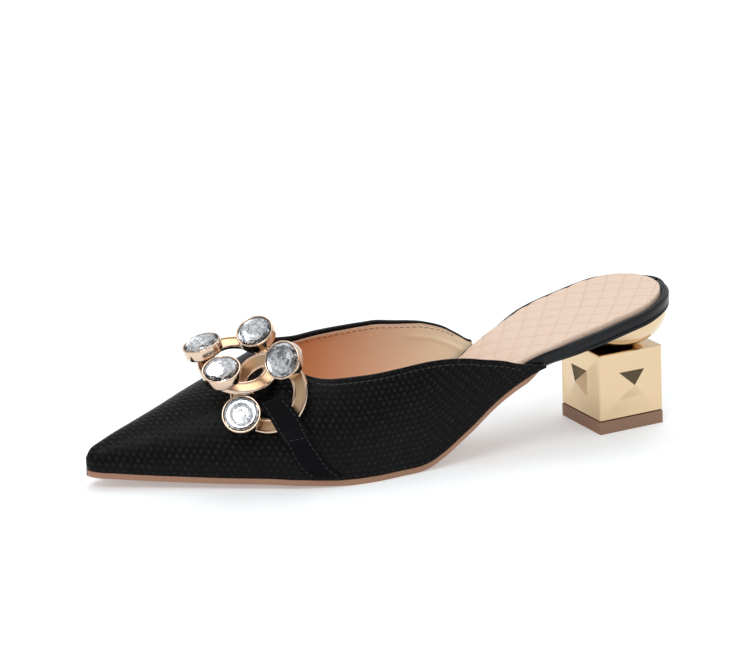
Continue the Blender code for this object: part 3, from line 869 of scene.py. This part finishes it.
def smooth_outline(points, steps):
    """A closed outline rounded by a curve through its points."""
    found = []
    count = len(points)
    for k in range(count):
        a, b, c, d = (points[(k + i - 1) % count] for i in range(4))
        for step in range(steps):
            t = step / steps
            found.append(tuple(
                0.5 * (2 * b[i] + (c[i] - a[i]) * t + (2 * a[i] - 5 * b[i] + 4 * c[i] - d[i]) * t * t
                       + (3 * b[i] - a[i] - 3 * c[i] + d[i]) * t ** 3)
                for i in range(2)
            ))
    return found


# Upper

def quarter_row(k):
    """Place of a row behind the throat, closest together near the throat."""
    return THROAT_AT + (OUTER_QUARTER_END - THROAT_AT) * (k / QUARTER_ROWS) ** 1.8


def side_strip(along, wall, curve, rise, from_inner):
    """Points up one side, from the feather edge to the top line raised by rise."""
    crest = math.pi / 2
    top = collar_angle(along, curve, rise)
    reach = crest - (crest - top) * mouth_open(along - rise / SHOE_LENGTH)
    angles = [reach * i / SIDE_COLUMNS for i in range(SIDE_COLUMNS + 1)]
    if from_inner:
        angles = [math.pi - angle for angle in reversed(angles)]
    return [last_point(along, angle, wall) for angle in angles]


def facing_drop(along):
    """How far the lining stays below the inner top line, where the leather is folded over as a facing."""
    share = (along - THROAT_AT) / (FACING_END - THROAT_AT)
    return FACING_DEPTH * max(1 - share, 0.0) ** 0.7 * ease_in(share, 0.0, 0.05)


def upper_grids(wall, rise):
    """Three grids over the last: the whole arches, the outer quarter and the inner quarter."""
    arch = []
    for along in ARCH_ROWS:
        place = along + TIP_WALLS * wall * max(1 - along / TIP_BLEND, 0.0) ** 2 / SHOE_LENGTH
        angles = [math.pi * i / (2 * SIDE_COLUMNS) for i in range(2 * SIDE_COLUMNS + 1)]
        arch.append([last_point(place, angle, wall) for angle in angles])
    shorter = (INNER_QUARTER_END - THROAT_AT) / (OUTER_QUARTER_END - THROAT_AT)
    outer = []
    inner = []
    for k in range(QUARTER_ROWS + 1):
        along = quarter_row(k)
        lifted = rise - (rise + TAIL_DROP if rise else 0.0) * (k / QUARTER_ROWS) ** 3
        outer.append(side_strip(along, wall, outer_collar, lifted, False))
        inside = THROAT_AT + (along - THROAT_AT) * shorter
        drop = facing_drop(inside) if rise else 0.0
        inner.append(side_strip(inside, wall, inner_collar, lifted - drop, True))
    return arch, outer, inner


def run_lengths(row):
    """Distance from the first point of a row to each of its points."""
    found = [0.0]
    for a, b in zip(row, row[1:]):
        found.append(found[-1] + (b - a).length)
    return found


def lay_rows(rows, from_end_of=None):
    """UV of a grid in millimetres: along the shoe, and up from the outer feather edge."""
    found = []
    for row in rows:
        lengths = run_lengths(row)
        start = from_end_of - lengths[-1] if from_end_of else 0.0
        found.append([(point.x, start + length) for point, length in zip(row, lengths)])
    return found


def edge_path(grids):
    """The free edge of the upper, from the outer tail round the mouth to the inner tail.
    Each entry is a point and the direction in which the sheet ends there."""
    _, outer, inner = grids
    pairs = list(zip(outer[-1], outer[-2]))[:-1]
    pairs += [(row[-1], row[-2]) for row in reversed(outer)]
    pairs += [(row[0], row[1]) for row in inner[1:]]
    pairs += list(zip(inner[-1], inner[-2]))[1:]
    return [(point, (point - before).normalized()) for point, before in pairs]


def rim_rows(outside, inside, bulge):
    """A half round between two free edges."""
    rows = []
    for (a, way), (b, _) in zip(outside, inside):
        centre = (a + b) / 2
        half = (a - b) / 2
        row = []
        for i in range(7):
            turn = math.pi * i / 6
            row.append(centre + half * math.cos(turn) + way * half.length * bulge * math.sin(turn))
        rows.append(row)
    return rows


def way_off(point, a, b):
    """Distance of a point from the line between two points."""
    share = (point - a).dot(b - a) / (b - a).length_squared
    return (point - a.lerp(b, min(max(share, 0.0), 1.0))).length


def press_crease(rows):
    """Raises the crease as a soft fold in a grid."""
    last_row, last_column = len(rows) - 1, len(rows[0]) - 1
    path = [rows[round(row * last_row)][round(column * last_column)].copy() for row, column in CREASE]
    fold = Vector(CREASE_WAY).normalized() * CREASE_HEIGHT
    for row in rows:
        for point in row:
            near = min(way_off(point, a, b) for a, b in zip(path, path[1:]))
            if near < 3 * CREASE_WIDTH:
                point += fold * math.exp(-(near / CREASE_WIDTH) ** 2)


def make_sheet(name, wall, thick, rise, paints, bulge):
    """The leather or the lining of the upper: two sheets with a rounded edge between them."""
    outside = upper_grids(wall, rise)
    inside = upper_grids(wall + thick, rise)
    throat_width = run_lengths(outside[0][-1])[-1]
    shaper = bmesh.new()
    if rise:
        press_crease(inside[2])
    for grids, paint in ((outside, 0), (inside, 1)):
        for rows, start in zip(grids, (None, None, throat_width)):
            add_grid(shaper, rows, lay_rows(rows, start), paint)
    rim = rim_rows(edge_path(outside), edge_path(inside), bulge)
    add_grid(shaper, rim, paint=2)
    return finish_piece(shaper, name, paints, sharp=60.0)


def make_upper():
    leather = make_sheet("upper_leather", 0.0, LEATHER, 0.0, ("upper", "upper", "board"), 0.7)
    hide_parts("upper")
    paints = ("lining_edge", "lining", "lining_edge")
    lining = make_sheet("upper_lining", LEATHER + LINING_PLAY, LINING, LINING_RISE, paints, 0.8)


def add_stitch(shaper, start, end, radius):
    """A short round thread between two points."""
    way = end - start
    turn = way.to_track_quat("Z", "Y").to_matrix().to_4x4()
    place = Matrix.Translation((start + end) / 2 * MM) @ turn
    bmesh.ops.create_cone(
        shaper, cap_ends=True, segments=6, radius1=radius * MM, radius2=radius * MM,
        depth=way.length * MM, matrix=place,
    )


def stitch_along(shaper, path, stitch):
    """Stitches along a path of points."""
    length, pitch, radius = stitch
    runs = run_lengths(path)
    place = pitch / 2
    while place + length < runs[-1]:
        ends = []
        for want in (place, place + length):
            k = max(i for i in range(len(runs) - 1) if runs[i] <= want)
            share = (want - runs[k]) / max(runs[k + 1] - runs[k], 1e-6)
            ends.append(path[k].lerp(path[k + 1], share))
        add_stitch(shaper, ends[0], ends[1], radius)
        place += pitch


def topline_path(curve, sign, wall, drop_at):
    """A line on one side of the upper, at a depth below the top line that drop_at gives for each place."""
    path = []
    for k in range(8, QUARTER_ROWS - 4):
        along = quarter_row(k)
        if sign < 0:
            shorter = (INNER_QUARTER_END - THROAT_AT) / (OUTER_QUARTER_END - THROAT_AT)
            along = THROAT_AT + (along - THROAT_AT) * shorter
        drop = drop_at(along)
        row = side_strip(along, wall, curve, 0.0, sign < 0)
        if sign > 0:
            row = row[::-1]
        runs = run_lengths(row)
        if runs[-1] < drop * 2:
            continue
        i = max(n for n in range(len(runs) - 1) if runs[n] <= drop)
        share = (drop - runs[i]) / (runs[i + 1] - runs[i])
        path.append(row[i].lerp(row[i + 1], share))
    return path


def make_topline_stitches():
    shaper = bmesh.new()
    for curve, sign in ((outer_collar, 1), (inner_collar, -1)):
        path = topline_path(curve, sign, 0.0, lambda along: TOPLINE_STITCH_DROP)
        stitch_along(shaper, path, TOPLINE_STITCH)
    inside = LEATHER + LINING_PLAY + LINING
    path = topline_path(inner_collar, -1, inside, lambda along: facing_drop(along) + FACING_STITCH_DROP)
    stitch_along(shaper, path, FACING_STITCH)
    finish_piece(shaper, "topline_stitches", ("thread",))


# Sole, board and pad

def make_outsole():
    shaper = bmesh.new()
    rings = []
    for along in spaced(0.0, OUTSOLE_END, OUTSOLE_ROWS):
        bare = ease_in(along, OUTSOLE_BARE_FROM, OUTSOLE_BARE_LENGTH)
        half = half_width(along) - OUTSOLE_TUCK * bare
        thick = OUTSOLE_THICK - (OUTSOLE_THICK - OUTSOLE_THIN) * bare
        top = feather(along)
        low = top - thick
        ease = min(OUTSOLE_EASE, thick * 0.45)
        right = [(half - ease * (1 - math.sin(t)), low + ease * (1 - math.cos(t)))
                 for t in (0.0, 0.4, 0.8, 1.2, math.pi / 2)]
        right += [(half, top - ease * 0.4), (half - ease * 0.4, top)]
        flat = [(half * s, top) for s in (0.5, 0.0, -0.5)]
        left = [(-s, z) for s, z in reversed(right)]
        under = [(half * s, low) for s in (-0.5, 0.0, 0.5)]
        outline = right + flat + left + under
        rings.append([section_point(along, s, z) for s, z in outline])
    add_body(shaper, rings)
    finish_piece(shaper, "outsole_nude", ("outsole",), ("outsole",))


def make_board():
    """The board with its rolled black rim, a ridge round it and a groove inside the ridge."""
    shaper = bmesh.new()
    rings = []
    for along in spaced(BOARD_START, 1.0, BOARD_ROWS):
        half = board_half(along)
        low = feather(along) + GAP
        flat = low + BOARD_THICK
        rim = flat + BOARD_RIM_HEIGHT - RIM_SINK
        well = min(max(well_half(along), 0.0), half - 0.1) if along < PAD_END else 0.0
        land = half - well
        floor = flat if well > 1.0 else rim
        ease = min(BOARD_EASE, half * 0.5)
        right = [(half - ease, low), (half - ease * 0.15, low + BOARD_EASE * 0.8)]
        right += [(half, low + BOARD_THICK * 0.6), (half - 0.02, flat + 0.4)]
        right += [(half - land * share, rim - below) for share, below in RIM_SHAPE]
        right.append((well, floor))
        left = [(-s, z) for s, z in reversed(right)]
        outline = smooth_outline([(0.0, low)] + right + [(0.0, floor)] + left, 3)
        rings.append([section_point(along, s, z) for s, z in outline])
    add_body(shaper, rings)
    finish_piece(shaper, "board_rim", ("board",), ("footbed_board",), sharp=75.0)


def quilt(forward, aside):
    """Puff of the quilting at a place of the pad, and nearness to the seams: two families of slightly curved
    lines. The nearness darkens the seams, partly as stitching and partly as painted shade.
    """
    bow = aside * aside / QUILT_BOW
    first = (forward + aside * QUILT_SLANT + bow) / QUILT_PITCH
    second = (forward - aside * QUILT_SLANT + bow) / QUILT_PITCH
    near = min(abs(first - round(first)), abs(second - round(second)))
    swell = abs(math.sin(math.pi * first) * math.sin(math.pi * second))
    return swell ** 0.45, max(1 - near / SEAM_SHARE, 0.0)


def make_pad():
    shaper = bmesh.new()
    rows = []
    seams = []
    columns = range(-PAD_HALF_COLUMNS, PAD_HALF_COLUMNS + 1)
    shares = [math.sin(math.pi / 2 * i / PAD_HALF_COLUMNS) for i in columns]
    for along in spaced(PAD_START, PAD_END, PAD_ROWS):
        half = max(well_half(along) - GAP, 0.2)
        base = feather(along) + 2 * GAP + BOARD_THICK
        row = []
        for share in [-1.0] + shares + [1.0]:
            aside = share * half
            puff, seam_shade = quilt(along * SHOE_LENGTH, aside)
            edge = min((half - abs(aside)) / PAD_ROUND, 1.0, (PAD_END - along) * SHOE_LENGTH / PAD_ROUND)
            edge = math.sqrt(max(edge * (2 - edge), 0.0))
            height = (PAD_THICK + PAD_LOFT + QUILT_PUFF * puff) * edge
            row.append(section_point(along, aside, base + height))
            seams.append(seam_shade)
        row[0].z -= PAD_SKIRT
        row[-1].z -= PAD_SKIRT
        rows.append(row)
    # Nearness to the seams, stored to darken them as stitching and painted shade
    layer = shaper.verts.layers.float.new("seam_shade")
    verts = add_grid(shaper, rows)
    for vert, seam_shade in zip(verts, seams):
        vert[layer] = seam_shade
    pad = finish_piece(shaper, "quilted_pad", ("pad",), ("sock_pad",), sharp=80.0)


# Heel

def square_ring(corners, inset, steps):
    """Points round a square that is drawn in towards its middle by a share."""
    centre = sum(corners, Vector()) / 4
    drawn = [corner.lerp(centre, inset) for corner in corners]
    ring = []
    for a, b in zip(drawn, drawn[1:] + drawn[:1]):
        ring += [a.lerp(b, i / steps) for i in range(steps)]
    return ring


def stud_rise(reach):
    """Share of a stud's height: flat from the border inwards, then steep up to the point."""
    if reach > STUD_STEP:
        return STUD_STEP_RISE * (1 - reach) / (1 - STUD_STEP)
    return 1 - (1 - STUD_STEP_RISE) * reach / STUD_STEP


def make_wall(shaper, corners):
    """One side of the cube with its stud."""
    centre = sum(corners, Vector()) / 4
    out = (corners[1] - corners[0]).cross(corners[3] - corners[0]).normalized()
    if out.dot(centre - heel_point(0, 0, centre.z)) < 0:
        out = -out
    border = 2 * STUD_BORDER / HEEL_SIDE
    rings = [square_ring(corners, 0.0, WALL_STEPS)]
    for step in range(WALL_STEPS + 1):
        share = step / WALL_STEPS
        inset = min(border + (1 - border) * share, 0.999)
        rise = out * STUD_HEIGHT * stud_rise(1 - share)
        rings.append([point + rise for point in square_ring(corners, inset, WALL_STEPS)])
    add_grid(shaper, ring_rows(rings))
    close_end(shaper, rings[-1])


def make_heel_cube():
    """The cube, with a pyramid stud in two slopes on each side, and narrow chamfers."""
    low = TOP_PIECE_HEIGHT + GAP
    high = TOP_PIECE_HEIGHT + HEEL_CUBE_HEIGHT
    long, wide = HEEL_SIDE / 2 - CUBE_EDGE, HEEL_WIDTH / 2 - CUBE_EDGE
    turns = ((1, 1), (1, -1), (-1, -1), (-1, 1))
    shaper = bmesh.new()
    walls = []
    for (i, j), (m, n) in zip(turns, turns[1:] + turns[:1]):
        ahead, aside = CUBE_EDGE * (i + m) / 2, CUBE_EDGE * (j + n) / 2
        foot, head = low + CUBE_EDGE, high - CUBE_EDGE
        ends = ((foot, i, j), (foot, m, n), (head, m, n), (head, i, j))
        walls.append([heel_point(long * x + ahead, wide * y + aside, z) for z, x, y in ends])
        make_wall(shaper, walls[-1])
    for z, a, b in ((low, 0, 1), (high, 3, 2)):
        cap = [heel_point(long * i, wide * j, z) for i, j in turns]
        close_end(shaper, cap)
        for k in range(4):
            close_end(shaper, [cap[k], cap[(k + 1) % 4], walls[k][b], walls[k][a]])
            close_end(shaper, [cap[k], walls[k][a], walls[k - 1][b]])
    for k in range(4):
        close_end(shaper, [walls[k][0], walls[k][3], walls[k - 1][2], walls[k - 1][1]])
    finish_piece(shaper, "heel_cube_gold", ("heel_gold",), ("heel_cube",), sharp=8.0)


def make_heel():
    obj = frame["nodes"]["heel_top_piece"]
    obj.data.materials.clear()
    obj.data.materials.append(MATERIALS["tip"])
    bevel = obj.modifiers.new("edges", "BEVEL")
    bevel.width = TOP_PIECE_EDGE * MM
    bevel.segments = 3
    make_heel_cube()
    shaper = bmesh.new()
    foot = TOP_PIECE_HEIGHT + HEEL_CUBE_HEIGHT + GAP
    deepest = math.acos(BOWL_FOOT)
    lean_back = math.tan(math.radians(HEEL_LEAN))
    rings = []
    for k in range(BOWL_RINGS + 1):
        depth = deepest * k / BOWL_RINGS
        sunk = math.sin(depth) / math.sin(deepest)
        ring = []
        for i in range(BOWL_SIDES):
            turn = 2 * math.pi * i / BOWL_SIDES
            forward = BOWL_MIDDLE * (1 - sunk) + BOWL_LENGTH / 2 * math.cos(turn) * math.cos(depth)
            outward = BOWL_WIDTH / 2 * math.sin(turn) * math.cos(depth)
            top = feather(station_of(forward))
            height = foot + (top - foot) * (1 - sunk)
            ring.append(heel_point(forward - lean_back * height, outward, height))
        rings.append(ring)
    add_body(shaper, rings)
    finish_piece(shaper, "heel_bowl_gold", ("heel_gold",), ("heel_bowl",))


# Ornament

def half_round(radius, height, edge):
    """Half a circle over a rim, as radius and height."""
    turns = [math.pi * i / 8 for i in range(9)]
    return [(radius + edge * math.cos(t), height + edge * math.sin(t)) for t in turns]


def make_ring_piece(name, number):
    """A flat ring with a sunk channel between two rounded rims."""
    inner = RING_INNER / 2
    outer = RING_OUTER / 2
    top = RING_THICK / 2
    rim = RING_RIM / 2
    profile = half_round(outer - rim, top - rim, rim)
    floor_at = len(profile)
    profile += [(outer - RING_RIM, top - RING_GROOVE), (inner + RING_RIM, top - RING_GROOVE)]
    profile += half_round(inner + rim, top - rim, rim)
    profile += [(inner, RING_EASE - top), (inner + RING_EASE, -top)]
    profile += [(outer - RING_EASE, -top), (outer, RING_EASE - top)]
    hoops = ring_rows([circle(ring_frame(number), r, h, RING_SIDES) for r, h in profile])
    shaper = bmesh.new()
    # The sunk channel takes the darker gold, painted shade in the groove
    add_grid(shaper, hoops[floor_at - 1:floor_at + 3], paint=1)
    add_grid(shaper, hoops[floor_at + 2:] + hoops[:floor_at])
    finish_piece(shaper, name + "_gold", ("ring_gold", "shaded_channel_gold"), (name,), sharp=35.0)


def make_crystal(number, row):
    """A cup on its stem, the stone in it and the foil behind the stone."""
    foot, seat = crystal_frames(*row)
    outer = BEZEL_WIDTH / 2
    inner = outer - BEZEL_WALL
    edge = BEZEL_WALL / 2
    cup = [(STEM_WIDTH / 2, 0.0)] + [(outer - inset, height) for inset, height in CUP_FOOT]
    cup += half_round(outer - edge, BEZEL_HEIGHT - edge, edge)
    cup += [(inner, BEZEL_FLOOR), (CUP_HOLE, BEZEL_FLOOR)]
    hoops = [circle(foot, STEM_WIDTH / 2, 0.0, CUP_SIDES)] + [circle(seat, r, h, CUP_SIDES) for r, h in cup]
    shaper = bmesh.new()
    add_body(shaper, hoops)
    name = f"bezel_{number}"
    finish_piece(shaper, name + "_gold", ("ring_gold",), (name,), sharp=50.0)
    stone = inner - STONE_PLAY
    crown = [(stone, BEZEL_HEIGHT - below, 0.0) for below in GIRDLE]
    crown += [(stone * share, BEZEL_HEIGHT + CRYSTAL_POINT * rise, turn) for share, rise, turn in CROWN]
    shaper = bmesh.new()
    add_facets(shaper, seat, crown, number)
    name = f"crystal_{number}"
    finish_piece(shaper, name + "_glass", ("glass",), (name,), sharp=1.0)
    top = BEZEL_HEIGHT - FOIL_DEPTH
    foil = [(stone * share, top - (top - BEZEL_FLOOR) * sunk, turn) for share, sunk, turn in PAVILION]
    shaper = bmesh.new()
    add_facets(shaper, seat, foil, number)
    finish_piece(shaper, f"foil_{number}", ("foil",), sharp=1.0)


def add_facets(shaper, seat, rings, number):
    """Triangle facets between rings given as radius, height and turn in steps. Each facet stores a painted
    reflection, a light or dark level that stands in for what it mirrors.
    """
    painted_reflection = shaper.faces.layers.float.new("painted_reflection")
    sides = CRYSTAL_SIDES
    centre, axis, first, second = seat
    hoops = []
    for radius, height, shift in rings:
        hoop = []
        for i in range(sides):
            turn = 2 * math.pi * (i + shift) / sides
            way = first * math.cos(turn) + second * math.sin(turn)
            hoop.append(shaper.verts.new((centre + axis * height + way * radius) * MM))
        hoops.append(hoop)
    for k, (low, high) in enumerate(zip(hoops, hoops[1:])):
        turned = rings[k][2] > rings[k + 1][2]
        for i in range(sides):
            j = (i + 1) % sides
            if turned:
                facets = ((low[i], high[j], high[i]), (low[i], low[j], high[j]))
            else:
                facets = ((low[i], low[j], high[i]), (low[j], high[j], high[i]))
            for half, corners in enumerate(facets):
                face = shaper.faces.new(corners)
                # Painted reflection: each facet gets a light or dark level in turn
                face[painted_reflection] = PAINTED_REFLECTIONS[(5 * k + 3 * i + 4 * half + number) % len(PAINTED_REFLECTIONS)]
    for cap in (hoops[-1], hoops[0][::-1]):
        face = shaper.faces.new(cap)
        face[painted_reflection] = PAINTED_REFLECTIONS[0]


def strap_rows():
    """Rows of places on the last under the strap with the ways out of it, and the lift that each needs."""
    rows = []
    needed = []
    for k in range(STRAP_STEPS + 1):
        degrees = STRAP[0][0] + (STRAP_END - STRAP[0][0]) * k / STRAP_STEPS
        front = strap_front(degrees)
        step = (strap_back(degrees) - front) / STRAP_COLUMNS
        angle = math.radians(degrees)
        row = [last_frame(front + step * i, angle)[:2] for i in range(STRAP_COLUMNS + 1)]
        rows.append(row)
        needed.append(max(lift_over_ring(place, out) for place, out in row[::4]))
    return rows, needed


def near_rows(values, k):
    """The values of the rows near row k."""
    return values[max(k - STRAP_AHEAD, 0):k + STRAP_AHEAD + 1]


def strap_ring(places, outs):
    """Outline of a section of the strap, with eased edges."""
    half = STRAP_THICK / 2
    above = [place + out * half for place, out in zip(places, outs)]
    below = [place - out * half for place, out in zip(places, outs)]
    back, front = ([places[k] + outs[k] * half * side for side in (0.5, -0.5)] for k in (-1, 0))
    return above[1:-1] + back + below[-2:0:-1] + front[::-1]


def make_strap():
    """The suede strap: up the side, over the outer ring, and folded down into its hole."""
    rows, needed = strap_rows()
    steps = range(STRAP_STEPS + 1)
    tall = [max(near_rows(needed, k)) for k in steps]
    lifts = [sum(near_rows(tall, k)) / len(near_rows(tall, k)) for k in steps]
    half = STRAP_THICK / 2
    places = [[place + out * (lift + half) for place, out in row] for row, lift in zip(rows, lifts)]
    outs = [[out for _, out in row] for row in rows]
    ways = [(end - start).normalized() for end, start in zip(places[-1], places[-4])]
    ends = list(zip(places[-1], outs[-1], ways))
    for step in range(1, FOLD_STEPS + 1):
        turn = math.radians(FOLD_TURN * step)
        ahead, down = STRAP_FOLD * math.sin(turn), STRAP_FOLD * (1 - math.cos(turn))
        places.append([end + way * ahead - out * down for end, out, way in ends])
        outs.append([out * math.cos(turn) + way * math.sin(turn) for _, out, way in ends])
    shaper = bmesh.new()
    add_body(shaper, [strap_ring(row, row_outs) for row, row_outs in zip(places, outs)])
    finish_piece(shaper, "strap_suede", ("strap",), ("strap",), sharp=60.0)
    high = half + THREAD_OUT
    face = [[p + out * high for p, out in zip(row, row_outs)] for row, row_outs in zip(places, outs)]
    shaper = bmesh.new()
    for i in (2, STRAP_COLUMNS - 2):
        stitch_along(shaper, [row[i] for row in face[:STRAP_STEPS + 4]], STRAP_STITCH)
    cross = round(STRAP_STEPS * (CROSS_STITCH_ANGLE - STRAP[0][0]) / (STRAP_END - STRAP[0][0]))
    stitch_along(shaper, face[cross][2:-2], CROSS_STITCH)
    finish_piece(shaper, "strap_stitches", ("thread",))


# Studio

def towards(tree, axes, bearing, spread):
    """1 near a bearing round the shoe and 0 away from it; spread gives both distances in degrees."""
    near, far = spread
    x, y = axes["X"], axes["Y"]
    turn = math.radians(bearing)
    along = maths(tree, "MULTIPLY_ADD", x, math.cos(turn), maths(tree, "MULTIPLY", y, math.sin(turn)))
    flat = maths(tree, "SQRT", maths(tree, "MULTIPLY_ADD", x, x, maths(tree, "MULTIPLY", y, y)))
    share = maths(tree, "DIVIDE", along, flat)
    return smooth_step(tree, share, math.cos(math.radians(far)), math.cos(math.radians(near)))


def make_studio():
    """White floor, and white surroundings with dark and bright parts that the gold and the stones mirror."""
    shaper = bmesh.new()
    bmesh.ops.create_grid(shaper, x_segments=1, y_segments=1, size=4.0)
    mesh = bpy.data.meshes.new("floor")
    shaper.to_mesh(mesh)
    shaper.free()
    floor = bpy.data.objects.new("floor", mesh)
    bpy.context.scene.collection.objects.link(floor)
    material, tree, shader = new_material("floor_white", (0.73, 0.77, 0.79), 0.9)
    shader.inputs["Emission Color"].default_value = (1.0, 1.0, 1.0, 1.0)
    shader.inputs["Emission Strength"].default_value = FLOOR_GLOW
    add_bump(tree, shader, noise_node(tree, 0.02), 0.02)
    mesh.materials.append(material)

    world = bpy.data.worlds.new("studio")
    bpy.context.scene.world = world
    world.use_nodes = True
    tree = world.node_tree
    background = tree.nodes["Background"]
    place = tree.nodes.new("ShaderNodeTexCoord")
    axes = split_axes(tree, place.outputs["Generated"])
    high = smooth_step(tree, axes["Z"], *BAND_TOP)
    shade = towards(tree, axes, DARK_BEARING, DARK_SPREAD)
    unshaded = maths(tree, "SUBTRACT", 1.0, shade)
    behind = maths(tree, "MULTIPLY", smooth_step(tree, axes["Y"], *BAND_BACK), unshaded)
    bright = maths(tree, "MAXIMUM", high, behind)
    for bearing in CARD_BEARINGS:
        bright = maths(tree, "MAXIMUM", bright, towards(tree, axes, bearing, CARD_SPREAD))
    level = maths(tree, "MULTIPLY_ADD", bright, WORLD_BRIGHT - WORLD_DARK, WORLD_DARK)
    camera_ray = tree.nodes.new("ShaderNodeLightPath").outputs["Is Camera Ray"]
    unseen = maths(tree, "MULTIPLY", level, maths(tree, "SUBTRACT", 1.0, camera_ray))
    shown = maths(tree, "ADD", unseen, camera_ray)
    tree.links.new(shown, background.inputs["Strength"])
    background.inputs["Color"].default_value = (1.0, 1.0, 1.0, 1.0)

    for name, spot, size, power in LIGHTS:
        light = bpy.data.lights.new(name, "AREA")
        light.shape = "DISK"
        light.size = size
        light.energy = power
        obj = bpy.data.objects.new(name, light)
        obj.location = spot
        aim = Vector(AIM) - Vector(spot)
        obj.rotation_euler = aim.to_track_quat("-Z", "Y").to_euler()
        bpy.context.scene.collection.objects.link(obj)


def make_camera():
    azimuth = math.radians(CAMERA_AZIMUTH)
    rise = math.radians(CAMERA_RISE)
    roll = math.radians(CAMERA_ROLL)
    right = Vector((math.cos(azimuth), math.sin(azimuth), 0.0))
    back = Vector((math.sin(azimuth) * math.cos(rise), -math.cos(azimuth) * math.cos(rise), math.sin(rise)))
    up = back.cross(right)
    place = back * CAMERA_DISTANCE - right * CAMERA_ASIDE - up * CAMERA_ABOVE
    camera = bpy.data.cameras.new("camera")
    camera.lens = CAMERA_LENS
    camera.sensor_width = 36.0
    camera.sensor_fit = "HORIZONTAL"
    camera.clip_end = 50.0
    obj = bpy.data.objects.new("camera", camera)
    x_axis = right * math.cos(roll) + up * math.sin(roll)
    y_axis = up * math.cos(roll) - right * math.sin(roll)
    obj.matrix_world = Matrix.Translation(place * MM) @ Matrix((x_axis, y_axis, back)).transposed().to_4x4()
    bpy.context.scene.collection.objects.link(obj)
    bpy.context.scene.camera = obj


make_upper()
make_topline_stitches()
make_outsole()
make_board()
make_pad()
make_heel()
make_ring_piece("ring_outer", 0)
make_ring_piece("ring_inner", 1)
for crystal_number, crystal_row in enumerate(CRYSTALS, 1):
    make_crystal(crystal_number, crystal_row)
make_strap()
make_studio()
make_camera()
bpy.context.scene.view_settings.view_transform = "Standard"
